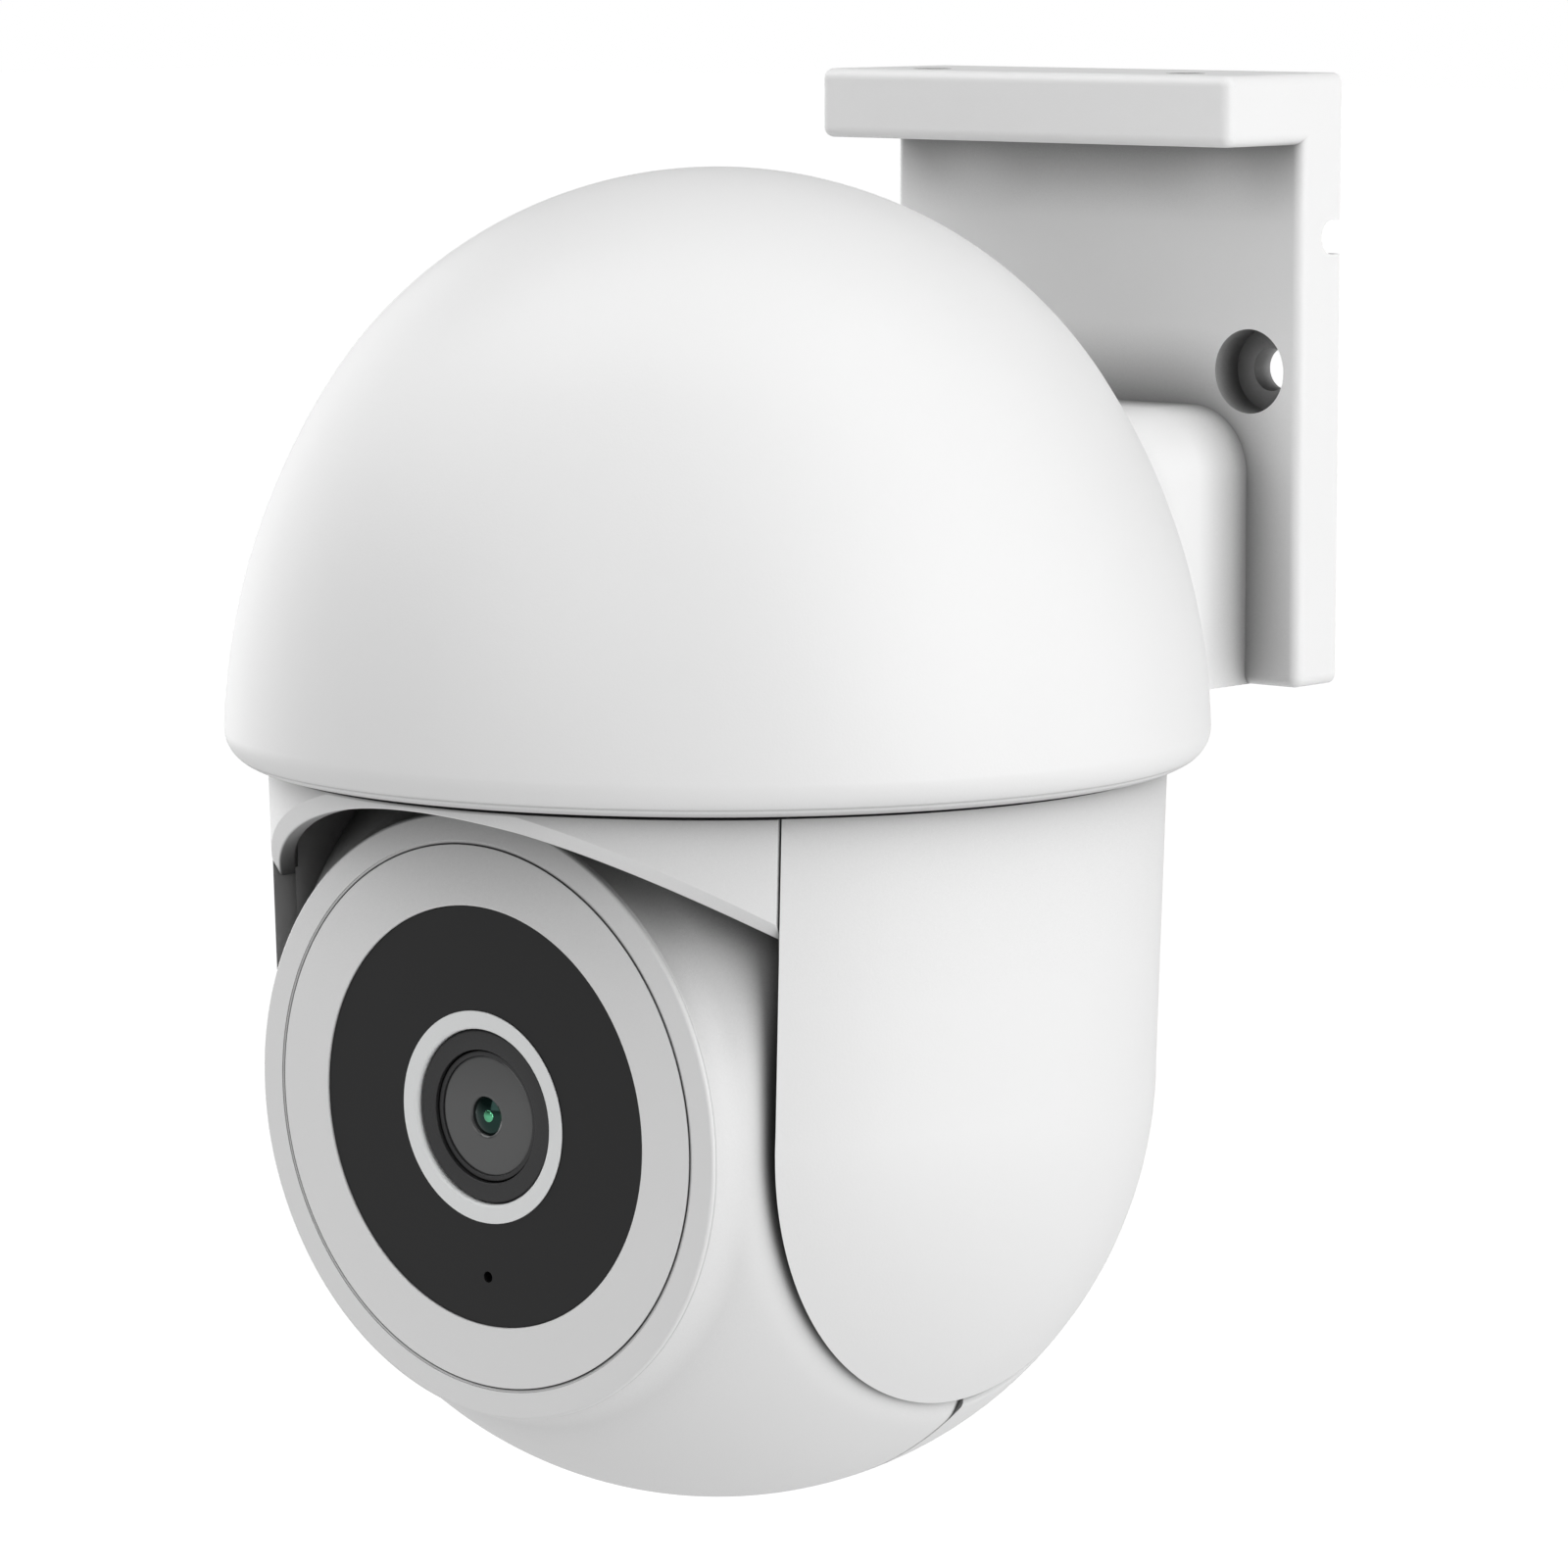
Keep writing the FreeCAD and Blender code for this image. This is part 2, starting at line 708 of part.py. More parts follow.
def dome_cover():
    boss_place = ("0", "0 - chassis_boss_circle")
    post = cylinder("dome_boss", "Z", "chassis_boss_radius", CHASSIS_TOP, "chassis_boss_top", boss_place)
    bosses = common("dome_bosses", fuse("dome_boss_set", *ring_of("dome_boss_at", post, 3)),
                    dome_envelope("boss_space"))
    pilot = cylinder("dome_pilot", "Z", "screw_shank", f"{CHASSIS_TOP} - 1",
                     f"{CHASSIS_TOP} + chassis_pilot_depth", boss_place)
    passage = box("dome_passage", ("0 - passage_half_width", "passage_half_width"),
                  ("neck_seat_distance", "axis_to_wall"), ("passage_bottom", "passage_top"))
    holes, seats = [], []
    for side, word in SIDES:
        place = (f"{side} * neck_screw_side", "neck_screw_height")
        holes.append(cylinder(f"dome_hole_{word}", "Y", "screw_clearance", "neck_seat_distance - 1",
                              "axis_to_wall", place))
        seats.append(cylinder(f"dome_seat_{word}", "Y", "neck_seat_radius", "neck_seat_distance",
                              "dome_radius", place))
    seat_solids = common("dome_seats", group("dome_seat_set", seats), dome_envelope("seat_space"))
    shell = fuse("dome_joined", dome_skin(), bosses, seat_solids)
    keep("dome_cover", cut("dome", shell, passage, *holes, *ring_of("dome_pilot_at", pilot, 3)), "pan")


def neck_fittings():
    screws = [screw(f"neck_screw_{word}", "Y", (f"{side} * neck_screw_side", "neck_screw_height"),
                    "neck_seat_distance", 1, "neck_screw_length") for side, word in SIDES]
    keep("neck_screws", group("neck_screw_set", screws), "pan")
    rim_back = "( neck_seat_distance + grommet_rim_thickness )"
    half = "( passage_half_width - grommet_play )"
    rim_half = "( passage_half_width + grommet_rim )"
    collar = box("grommet_block", (f"0 - {half}", half), (rim_back, "grommet_end"),
                 ("passage_bottom + grommet_play", "passage_top - grommet_play"))
    rim = box("grommet_rim_block", (f"0 - {rim_half}", rim_half), ("neck_seat_distance", rim_back),
              ("passage_bottom - 2 * grommet_play", "passage_top + grommet_rim"))
    bore = cylinder("grommet_bore_space", "Y", "grommet_bore", "neck_seat_distance", "axis_to_wall",
                    ("0", "( passage_bottom + passage_top ) / 2"))
    keep("cable_grommet", cut("grommet", fuse("grommet_whole", collar, rim), bore), "pan")


# ---------------------------------------------------------------- fixed chassis and electronics

def chassis_plate():
    owner = body("chassis_blank")
    drawing = sketch_on(owner, "chassis_outline", "XY_Plane", "chassis_bottom")
    circle(drawing, "chassis_radius - 4 * gear_play")
    circle(drawing, "hub_radius + bush_wall")
    circle(drawing, "motor_boss_radius + 2 * gear_play", "0", f"0 - {PAN_REACH}")
    pad(owner, drawing, "chassis_thickness")
    through = ("chassis_bottom - 1", f"{CHASSIS_TOP} + 1")
    pillar_place = ("0", "pillar_circle")
    pillar = cylinder("pillar", "Z", "pillar_radius", CHASSIS_TOP, "board_bottom", pillar_place)
    stop = box("chassis_stop", ("0 - stop_half_width", "stop_half_width"),
               span("stop_radius", 1, "stop_depth"), span("chassis_bottom", -1, "stop_height"))
    solid = fuse("chassis_solid", owner, stop, *ring_of("pillar_at", pillar, 3))
    hole = cylinder("chassis_hole", "Z", "screw_clearance", *through, ("0", "0 - chassis_boss_circle"))
    pilot = cylinder("pillar_pilot", "Z", "board_screw_shank", "board_bottom - chassis_pilot_depth",
                     "board_bottom + 1", pillar_place)
    notch = box("chassis_notch", ("0 - chassis_notch_half_width", "chassis_notch_half_width"),
                ("chassis_notch_floor", "dome_radius"), through)
    tools = ring_of("chassis_hole_at", hole, 3) + ring_of("pillar_pilot_at", pilot, 3)
    tools += [cylinder(f"motor_pilot_{word}", "Z", "screw_shank", *through,
                       (f"{side} * ear_spacing", f"0 - {PAN_REACH}")) for side, word in SIDES]
    keep("chassis_plate", cut("chassis", solid, notch, *tools), "pan")
    one = screw("chassis_screw", "Z", ("0", "0 - chassis_boss_circle"), "chassis_bottom", 1,
                "chassis_screw_length")
    keep("chassis_screws", group("chassis_screw_set", ring_of("chassis_screw_at", one, 3)), "pan")


def pan_bush():
    inner = "hub_radius + running_gap"
    outer = "hub_radius + bush_wall"
    top = f"{CHASSIS_TOP} + bush_flange_thickness"
    sleeve = tube("bush_sleeve", "Z", inner, outer, "chassis_bottom", top)
    flange = tube("bush_flange_ring", "Z", inner, f"{outer} + bush_flange", CHASSIS_TOP, top)
    keep("pan_bush", fuse("bush", sleeve, flange), "pan")


def stepper(name, axis, across, face, way, length, boss_height, ears):
    """A can motor that runs from its face along way, with a boss on the face and an ear plate.

    across is where its axis stands, and ears is the place in across that the ears stretch along.
    """
    can = cylinder(f"{name}_can", axis, "motor_radius", *span(face, way, length), across)
    boss = cylinder(f"{name}_boss", axis, "motor_boss_radius", *span(face, -way, boss_height), across)
    halves = ["ear_half_width", "ear_half_width"]
    halves[ears] = "ear_reach"
    sides = [(f"{middle} - {half}", f"{middle} + {half}") for middle, half in zip(across, halves)]
    plate = span(face, way, "ear_thickness")
    sides.insert("XYZ".index(axis), plate)
    bore_end = span(f"{face} - {way} * ( {boss_height} + 1 )", way, f"{boss_height} + 1 + motor_bore_depth")
    tools = [cylinder(f"{name}_bore", axis, "shaft_radius + running_gap", *bore_end, across)]
    for side, word in SIDES:
        place = list(across)
        place[ears] = f"{place[ears]} + {side} * ear_spacing"
        tools.append(cylinder(f"{name}_ear_hole_{word}", axis, "screw_snug", f"{plate[0]} - 1",
                              f"{plate[1]} + 1", place))
    return cut(name, fuse(f"{name}_whole", can, boss, box(f"{name}_ears", *sides)), *tools)


def pan_drive():
    place = ("0", f"0 - {PAN_REACH}")
    motor = stepper("pan_stepper", "Z", place, CHASSIS_TOP, 1, "pan_motor_length", "pan_motor_boss", 0)
    keep("pan_motor", motor, "pan")
    screws = [screw(f"pan_motor_screw_{word}", "Z", (f"{side} * ear_spacing", place[1]),
                    f"{CHASSIS_TOP} + ear_thickness", -1, "motor_screw_length") for side, word in SIDES]
    keep("pan_motor_screws", group("pan_motor_screw_set", screws), "pan")
    pinion = gear("pan_pinion_wheel", "Z", "pan_pinion_teeth", "shaft_radius", "pan_gear_bottom",
                  place, turn=PAN_PINION_TURN, extra=1)
    keep("pan_pinion", pinion, "pan")
    shaft = cylinder("pan_shaft", "Z", "shaft_radius", "pan_gear_bottom",
                     f"{CHASSIS_TOP} + shaft_engagement", place)
    keep("pan_motor_shaft", shaft, "pan")


def main_board():
    owner = body("board_blank")
    drawing = sketch_on(owner, "board_outline", "XY_Plane", "board_bottom")
    circle(drawing, "board_radius")
    for turn in (90, 210, 330):
        circle(drawing, "board_hole", f"pillar_circle * cos( {turn} )", f"pillar_circle * sin( {turn} )")
    pad(owner, drawing, "board_thickness")
    keep("main_board", owner, "pan")
    top = "( board_bottom + board_thickness )"
    one = screw("board_screw", "Z", ("0", "pillar_circle"), top, -1, "board_screw_length",
                "board_screw_shank")
    keep("main_board_screws", group("board_screw_set", ring_of("board_screw_at", one, 3)), "pan")
    chip_sides = ("0 - processor_half", "processor_half")
    chip_top = f"{top} + processor_height"
    keep("processor_chip", box("processor", chip_sides, chip_sides, (top, chip_top)), "pan")
    sink_sides = ("0 - sink_half", "sink_half")
    base = box("sink_base", sink_sides, sink_sides, (chip_top, f"{top} + sink_base_top"))
    fins = []
    for place in range(6):
        left = f"{place} * fin_pitch - sink_half"
        fins.append(box(f"sink_fin_{place}", (left, f"{left} + fin_thickness"), sink_sides,
                        (f"{top} + sink_base_top", f"{top} + sink_top")))
    keep("heat_sink", fuse("sink", base, *fins), "pan")
    antenna = box("antenna", ("0 - antenna_half_width", "antenna_half_width"),
                  span("antenna_distance", 1, "antenna_thickness"), span(top, 1, "antenna_height"))
    keep("wifi_antenna", antenna, "pan")
    plugs = []
    for place, (left, near) in enumerate(PLUG_CORNERS):
        block = box(f"plug_block_{place}", span(left, 1, "plug_width"), span(near, 1, "plug_depth"),
                    span(top, 1, "plug_height"))
        socket = box(f"plug_socket_{place}", (f"{left} + plug_wall", f"{left} + plug_width - plug_wall"),
                     (f"{near} + plug_wall", f"{near} + plug_depth - plug_wall"),
                     (f"{top} + plug_wall", f"{top} + plug_height + 1"))
        plugs.append(cut(f"plug_{place}", block, socket))
    keep("board_connectors", group("plug_set", plugs), "pan")


# ---------------------------------------------------------------- rotating housing

def pan_frame():
    """The disc and hub that turn in the chassis, with an arm down each side of the ball."""
    disc = cylinder("frame_disc", "Z", "frame_radius", "frame_bottom", FRAME_TOP)
    hub = cylinder("frame_hub", "Z", "hub_radius", "frame_bottom", "hub_top")
    level = f"( {BROW_END} - cover_top_gap )"
    inside_brow = cylinder("arm_upper_space", "Z", "body_top_radius - brow_thickness - cover_top_gap", level,
                           "frame_bottom + 1")
    space = fuse("arm_space", inside_brow, box("arm_lower_space", FAR, FAR, (BELOW, level)))
    arms = []
    for side, word in SIDES:
        sides = on_side(side, "arm_inner", ARM_OUTER)
        blank = box(f"{word}_arm_blank", sides, FAR, (BELOW, FRAME_TOP))
        top = box(f"{word}_arm_top", sides, ("0 - arm_top_half_width", "arm_top_half_width"),
                  ("collar_bottom - 1", FRAME_TOP))
        inside_cover = capsule(f"{word}_arm_outline", "( cover_wall + arm_gap )")
        form = common(f"{word}_arm_form", blank, inside_cover, space)
        arms.append(fuse(f"{word}_arm", form, top))
    tools = [cylinder("frame_bore", "Z", "hub_bore", "frame_bottom - 1", "hub_top + 1"),
             cylinder("arm_bore", "X", "trunnion_radius + running_gap", *FAR, TILT_AXIS)]
    tools += [cylinder(f"arm_screw_hole_{place}", "X", "screw_shank", *FAR,
                       ("0", f"tilt_height + {up} * arm_screw_rise")) for place, up in enumerate((-1, 1))]
    one = cylinder("frame_screw_hole", "Z", "screw_clearance", "frame_bottom - 1", f"{FRAME_TOP} + 1",
                   ("0", "frame_screw_circle"))
    tools += ring_of("frame_hole_at", one, 4, FRAME_SCREWS_START)
    keep("pan_frame", cut("frame", fuse("frame_solid", disc, hub, *arms), *tools), "pan")


def brow_arch():
    """The space under the brow: one shallow arc over the face, from seam to seam."""
    arch = body("brow_arch")
    drawing = sketch_on(arch, "brow_arch_outline", "XZ_Plane")
    profile(drawing, [("seam_top", BROW_END), ("0 - seam_top", BROW_END), ("0 - seam_top", BELOW),
                      ("seam_top", BELOW)], {0: ("brow_arc", ("0", BROW_CENTRE))})
    pad(arch, drawing, "axis_to_wall")
    return arch


def housing_shell():
    """The collar inside the dome's lip and the skirt below it, which is the brow over the face."""
    collar = cylinder("shell_collar", "Z", "collar_radius", "collar_bottom", "collar_top")
    tools = [cylinder("shell_hollow", "Z", "body_top_radius - brow_thickness", BELOW, "collar_bottom"),
             box("shell_rear_low", FAR, ("0", "axis_to_wall"), (BELOW, "tilt_height + rear_skirt_end")),
             brow_arch()]
    tools += [seam_region(f"shell_seam_{word}", side, "0") for side, word in SIDES]
    skirt = cut("shell_skirt", capsule("shell_outside", "0"), *tools)
    pilot = cylinder("shell_pilot", "Z", "screw_shank", f"{FRAME_TOP} - 1", "collar_top - 0.3",
                     ("0", "frame_screw_circle"))
    tools = [cylinder("shell_hollow_top", "Z", "collar_radius - collar_wall", "collar_bottom", FRAME_TOP),
             cylinder("shell_opening", "Z", "collar_opening", "collar_bottom", "collar_top + 1")]
    tools += ring_of("shell_pilot_at", pilot, 4, FRAME_SCREWS_START)
    keep("housing_shell", cut("shell", fuse("shell_walls", skirt, collar), *tools), "pan")


def side_covers():
    for side, word in SIDES:
        skin = cut(f"{word}_cover_skin", capsule(f"{word}_cover_outside", "0"),
                   capsule(f"{word}_cover_inside", "cover_wall"))
        cap = common(f"{word}_cover_cap", skin, seam_region(f"{word}_cover_region", side, "seam_gap"))
        above = box(f"{word}_cover_top", FAR, FAR, ("collar_bottom - cover_top_gap", "0"))
        keep(f"{word}_side_cover", cut(f"{word}_cover", cap, above), "pan")


def pan_fittings():
    wheel = gear("pan_wheel", "Z", "pan_gear_teeth", "hub_radius", "pan_gear_bottom")
    lug = box("pan_stop_lug", ("0 - stop_half_width", "stop_half_width"),
              ("0 - stop_radius - stop_depth", "0 - stop_radius"),
              span("pan_gear_bottom + gear_thickness", 1, "stop_height"))
    keep("pan_gear", fuse("pan_gear_whole", wheel, lug), "pan")
    ring = tube("hub_ring", "Z", "hub_radius", "hub_radius + ring_width",
                *span(f"{CHASSIS_TOP} + 1", 1, "ring_thickness"))
    keep("pan_retaining_ring", ring, "pan")
    one = screw("frame_screw", "Z", ("0", "frame_screw_circle"), "frame_bottom", 1, "frame_screw_length")
    screws = ring_of("frame_screw_at", one, 4, FRAME_SCREWS_START)
    keep("frame_screws", group("frame_screw_set", screws), "pan")


def trunnions():
    """A flanged stub through each arm, and the fixed gear on the right one."""
    flange_end = f"( {ARM_OUTER} + trunnion_flange_thickness )"
    for side, word in SIDES:
        inner = "tilt_gear_inner" if side > 0 else "( ball_half_width - ball_wall - trunnion_stub )"
        stub = cylinder(f"{word}_stub", "X", "trunnion_radius", *on_side(side, inner, ARM_OUTER), TILT_AXIS)
        flange = cylinder(f"{word}_flange", "X", "trunnion_flange", *on_side(side, ARM_OUTER, flange_end),
                          TILT_AXIS)
        tools = [cylinder(f"{word}_stub_bore", "X", "trunnion_bore", *FAR, TILT_AXIS)]
        screws = []
        for place, up in enumerate((-1, 1)):
            spot = ("0", f"tilt_height + {up} * arm_screw_rise")
            tools.append(cylinder(f"{word}_flange_hole_{place}", "X", "screw_snug", *FAR, spot))
            screws.append(screw(f"{word}_pivot_screw_{place}", "X", spot, f"{side} * {flange_end}", -side,
                                "arm_screw_length"))
        solid = fuse(f"{word}_pivot_solid", stub, flange)
        keep(f"{word}_trunnion", cut(f"{word}_pivot", solid, *tools), "pan")
        keep(f"{word}_trunnion_screws", group(f"{word}_pivot_screw_set", screws), "pan")
    wheel = gear("tilt_wheel", "X", "tilt_gear_teeth", "trunnion_radius", "tilt_gear_inner", TILT_AXIS,
                 turn=number("tilt_at_rest"))
    keep("tilt_gear", wheel, "pan")


# ---------------------------------------------------------------- camera head

def ball_solid(name, inset):
    """The ball between its flat sides, with the short barrel on its front, inset all round."""
    side = f"( ball_half_width - {inset} )"
    barrel = cylinder(f"{name}_barrel", "Y", f"barrel_radius - {inset}", f"{inset} - face_distance",
                      "0 - barrel_depth")
    slab = box(f"{name}_slab", (f"0 - {side}", side), FAR, FAR)
    whole = fuse(f"{name}_whole", sphere(f"{name}_round", f"body_radius - {inset}"), barrel)
    return common(name, whole, slab)


def corner_cylinders(name, spread, rise, radius, low, high):
    """Four cylinders along Y, at the corners of a rectangle about the head's axis."""
    return [cylinder(f"{name}_{place}", "Y", radius, low, high, (f"{across} * {spread}", f"{up} * {rise}"))
            for place, (across, up) in enumerate(CORNERS)]


def soft_edge(edge):
    """The rims of the ball's flat sides, and the rim of its face."""
    bounds = edge.BoundBox
    side = abs(abs(bounds.Center.x) - number("ball_half_width")) < 0.01 and bounds.XLength < 0.01
    face = abs(bounds.Center.y + number("face_distance")) < 0.01 and bounds.YLength < 0.01
    return side or face


def head_half(word, reach, post_reach, tools, extra_solids=()):
    """Half of the ball's shell; reach and post_reach are the (low, high) of the half and its posts."""
    outside = rounded(f"{word}_ball", ball_solid(f"{word}_ball_sharp", "0"), "ball_edge", soft_edge)
    half = common(f"{word}_skin_half", outside, box(f"{word}_half", FAR, reach, FAR))
    hollow = cut(f"{word}_skin", half, ball_solid(f"{word}_ball_inside", "ball_wall"))
    posts = group(f"{word}_post_set", corner_cylinders(
        f"{word}_post", "head_screw_side", "head_screw_rise", "post_radius", *post_reach))
    inner_posts = common(f"{word}_posts", posts, ball_solid(f"{word}_post_space", "ball_wall / 2"))
    tools += [cylinder(f"{word}_pivot_hole", "X", "trunnion_radius + bush_wall", *FAR),
              tube(f"{word}_seal_groove", "Y", "seal_inner", "seal_outer", "seal_front - seal_play",
                   "seal_rear + seal_play")]
    solid = fuse(f"{word}_shell_joined", hollow, inner_posts, *extra_solids)
    keep(f"head_{word}_shell", cut(f"{word}_shell_whole", solid, *tools), "head")


def head_shells():
    corners = ("head_screw_side", "head_screw_rise")
    tools = corner_cylinders("front_screw_hole", *corners, "screw_shank", "0 - head_pilot_depth", "1")
    tools += [cylinder("bezel_seat", "Y", "bezel_radius + bezel_groove", "0 - axis_to_wall",
                       "bezel_depth - face_distance"),
              cylinder("optics_hole", "Y", "optics_opening", "0 - axis_to_wall", "0 - barrel_depth")]
    head_half("front", ("0 - axis_to_wall", "0"), ("0 - post_reach", "0"), tools)
    tools = corner_cylinders("rear_screw_hole", *corners, "screw_clearance", "-1", "body_radius")
    tools += corner_cylinders("screw_recess", *corners, "head_screw_recess", "head_screw_seat", "body_radius")
    motor_posts = []
    for place, up in enumerate((-1, 1)):
        spot = (TILT_REACH, f"{up} * ear_spacing")
        motor_posts.append(cylinder(f"motor_post_{place}", "X", "motor_post_radius", "tilt_motor_face",
                                    "ball_half_width - ball_wall / 2", spot))
        tools.append(cylinder(f"motor_post_pilot_{place}", "X", "screw_shank", "tilt_motor_face - 1",
                              "motor_post_pilot", spot))
    head_half("rear", ("shell_gap", "axis_to_wall"), ("shell_gap", "post_reach"), tools, motor_posts)


def head_fittings():
    screws = []
    for place, (across, up) in enumerate(CORNERS):
        spot = (f"{across} * head_screw_side", f"{up} * head_screw_rise")
        screws.append(screw(f"head_screw_{place}", "Y", spot, "head_screw_seat", -1, "head_screw_length"))
    keep("head_screws", group("head_screw_set", screws), "head")
    band = tube("seal_band", "Y", "seal_inner", "seal_outer", "seal_front", "seal_rear")
    gap = box("seal_span", ("0 - seal_half_width", "seal_half_width"), FAR, FAR)
    keep("head_seal", common("seal", band, gap), "head")
    bore = "trunnion_radius + running_gap"
    outer = "trunnion_radius + bush_wall"
    end = "ball_half_width + tilt_bush_thickness"
    for side, word in SIDES:
        inner_end = "ball_half_width - ball_wall - tilt_bush_thickness"
        sleeve = tube(f"{word}_tilt_sleeve", "X", bore, outer, *on_side(side, inner_end, end))
        flange = tube(f"{word}_tilt_flange", "X", bore, f"{outer} + tilt_bush_flange",
                      *on_side(side, "ball_half_width", end))
        keep(f"{word}_tilt_bush", fuse(f"{word}_bush_whole", sleeve, flange), "head")


def tilt_drive():
    place = (TILT_REACH, "0")
    motor = stepper("tilt_stepper", "X", place, "tilt_motor_face", -1, "tilt_motor_length",
                    "tilt_motor_boss", 1)
    keep("tilt_motor", motor, "head")
    screws = [screw(f"tilt_motor_screw_{at}", "X", (TILT_REACH, f"{up} * ear_spacing"),
                    "tilt_motor_face - ear_thickness", 1, "tilt_motor_screw_length")
              for at, up in enumerate((-1, 1))]
    keep("tilt_motor_screws", group("tilt_motor_screw_set", screws), "head")
    pinion = gear("tilt_pinion_wheel", "X", "tilt_pinion_teeth", "shaft_radius",
                  "tilt_gear_inner + tilt_pinion_offset", place)
    keep("tilt_pinion", pinion, "head")
    shaft = cylinder("tilt_shaft", "X", "shaft_radius", "tilt_motor_face - shaft_engagement",
                     "tilt_gear_inner + tilt_pinion_offset + gear_thickness", place)
    keep("tilt_motor_shaft", shaft, "head")


def face_rings():
    """The bezel with its rear ledge, the black window and the trim ring about the lens."""
    face = "0 - face_distance"
    seat = f"{face} + bezel_depth"
    front = f"{face} + window_recess"
    window_back = f"{front} + window_thickness"
    ring = tube("bezel_ring", "Y", "window_radius + bezel_play", "bezel_radius", face, seat)
    ledge = tube("bezel_ledge_ring", "Y", "bezel_ledge", "optics_opening - 2 * bezel_play", window_back,
                 f"{seat} + bezel_ledge_depth")
    keep("face_bezel", fuse("bezel", ring, ledge), "head")
    pane = tube("window_pane", "Y", "trim_outer", "window_radius", front, window_back)
    sound = cylinder("window_sound_hole", "Y", "microphone_hole", f"{face} - 1", f"{window_back} + 1",
                     ("0", "0 - microphone_drop"))
    keep("front_window", cut("window", pane, sound), "head")
    trim = tube("trim", "Y", "trim_inner", "trim_outer", f"{face} + bezel_play", f"{seat} + trim_depth")
    keep("lens_trim_ring", trim, "head")


def lens():
    """The lens head in its cowl, the thread behind it, both glasses and the holder on the board."""
    mouth_radius = "lens_head_radius + cowl_play"
    cowl_front = "cowl_play - face_distance + bezel_groove"
    outside = cylinder("cowl_outside", "Y", "trim_inner", cowl_front, "0 - cowl_rear")
    tools = [cone("cowl_cone", "Y", "trim_inner - 0.5", mouth_radius, "0 - face_distance", "0 - cowl_floor"),
             cylinder("cowl_bore", "Y", mouth_radius, "0 - cowl_floor - cowl_play", "0 - lens_shoulder")]
    keep("lens_cowl", cut("cowl", outside, *tools), "head")
    barrel = fuse("barrel_solid",
                  cylinder("barrel_head", "Y", "lens_head_radius", "0 - lens_front", "0 - lens_shoulder"),
                  cylinder("barrel_thread", "Y", "lens_thread_radius", "0 - lens_shoulder", "0 - lens_rear"))
    mouth = cone("barrel_mouth", "Y", "lens_mouth", "lens_bore", "0 - lens_front", "0 - lens_mouth_floor")
    bore = cylinder("barrel_bore", "Y", "lens_bore", "0 - lens_front - 1", "1 - lens_rear")
    keep("lens_barrel", cut("barrel", barrel, mouth, bore), "head")
    edge = cylinder("front_lens_edge", "Y", "lens_bore", "0 - lens_front", "0 - front_lens_rear")
    ball = sphere("front_lens_ball", "front_lens_radius", "0 - front_lens_centre")
    keep("front_lens", common("front_lens_form", ball, edge), "head")
    rear = cylinder("rear_lens_form", "Y", "lens_bore", "0 - rear_lens_front", "0 - rear_lens_back")
    keep("rear_lens", rear, "head")
    holder_sides = ("0 - holder_half", "holder_half")
    block = box("holder_block", holder_sides, ("0 - holder_front", "0 - sensor_board_front"), holder_sides)
    thread = cylinder("holder_bore", "Y", "lens_thread_radius", "0 - holder_front - 1",
                      "1 - sensor_board_front")
    keep("lens_holder", cut("holder", block, thread), "head")


def optics_frame():
    """The plate behind the window, with a post to each corner of the sensor board."""
    spots = [(f"optics_screw_circle * sin( {turn} )", f"optics_screw_circle * cos( {turn} )")
             for turn in (60, 180, 300)]
    corners = ("sensor_screw_side", "sensor_screw_side")
    plate = tube("optics_plate", "Y", "optics_plate_inner", "optics_plate_outer", "0 - optics_plate_front",
                 "0 - optics_plate_back")
    posts = corner_cylinders("optics_post", *corners, "optics_post_radius", "0 - optics_plate_back",
                             "0 - sensor_board_front")
    tools = corner_cylinders("optics_pilot", *corners, "sensor_screw_shank",
                             "0 - sensor_board_back - sensor_screw_length - 1", "0 - sensor_board_back")
    screws = []
    for place, spot in enumerate(spots):
        tools.append(cylinder(f"optics_hole_{place}", "Y", "screw_snug", "0 - optics_plate_front - 1",
                              "1 - optics_plate_back", spot))
        screws.append(screw(f"optics_screw_{place}", "Y", spot, "0 - optics_plate_back", -1,
                            "optics_screw_length"))
    solid = fuse("optics_frame_solid", plate, *posts)
    keep("optics_frame", cut("optics_frame_whole", solid, *tools), "head")
    keep("optics_screws", group("optics_screw_set", screws), "head")


def sensor_board():
    sides = ("0 - sensor_board_half", "sensor_board_half")
    blank = box("sensor_board_blank", sides, ("0 - sensor_board_front", "0 - sensor_board_back"), sides)
    holes = corner_cylinders("sensor_screw_hole", "sensor_screw_side", "sensor_screw_side", "sensor_hole",
                             "0 - sensor_board_front - 1", "1 - sensor_board_back")
    keep("sensor_board", cut("sensor_board_drilled", blank, *holes), "head")
    chip = ("0 - sensor_half", "sensor_half")
    package = box("sensor_chip", chip, ("0 - sensor_front", "0 - sensor_board_front"), chip)
    keep("image_sensor", package, "head")
    screws = []
    for place, (across, up) in enumerate(CORNERS):
        spot = (f"{across} * sensor_screw_side", f"{up} * sensor_screw_side")
        screws.append(screw(f"sensor_screw_{place}", "Y", spot, "0 - sensor_board_back", -1,
                            "sensor_screw_length", "sensor_screw_shank", "sensor_screw_head"))
    keep("sensor_board_screws", group("sensor_screw_set", screws), "head")


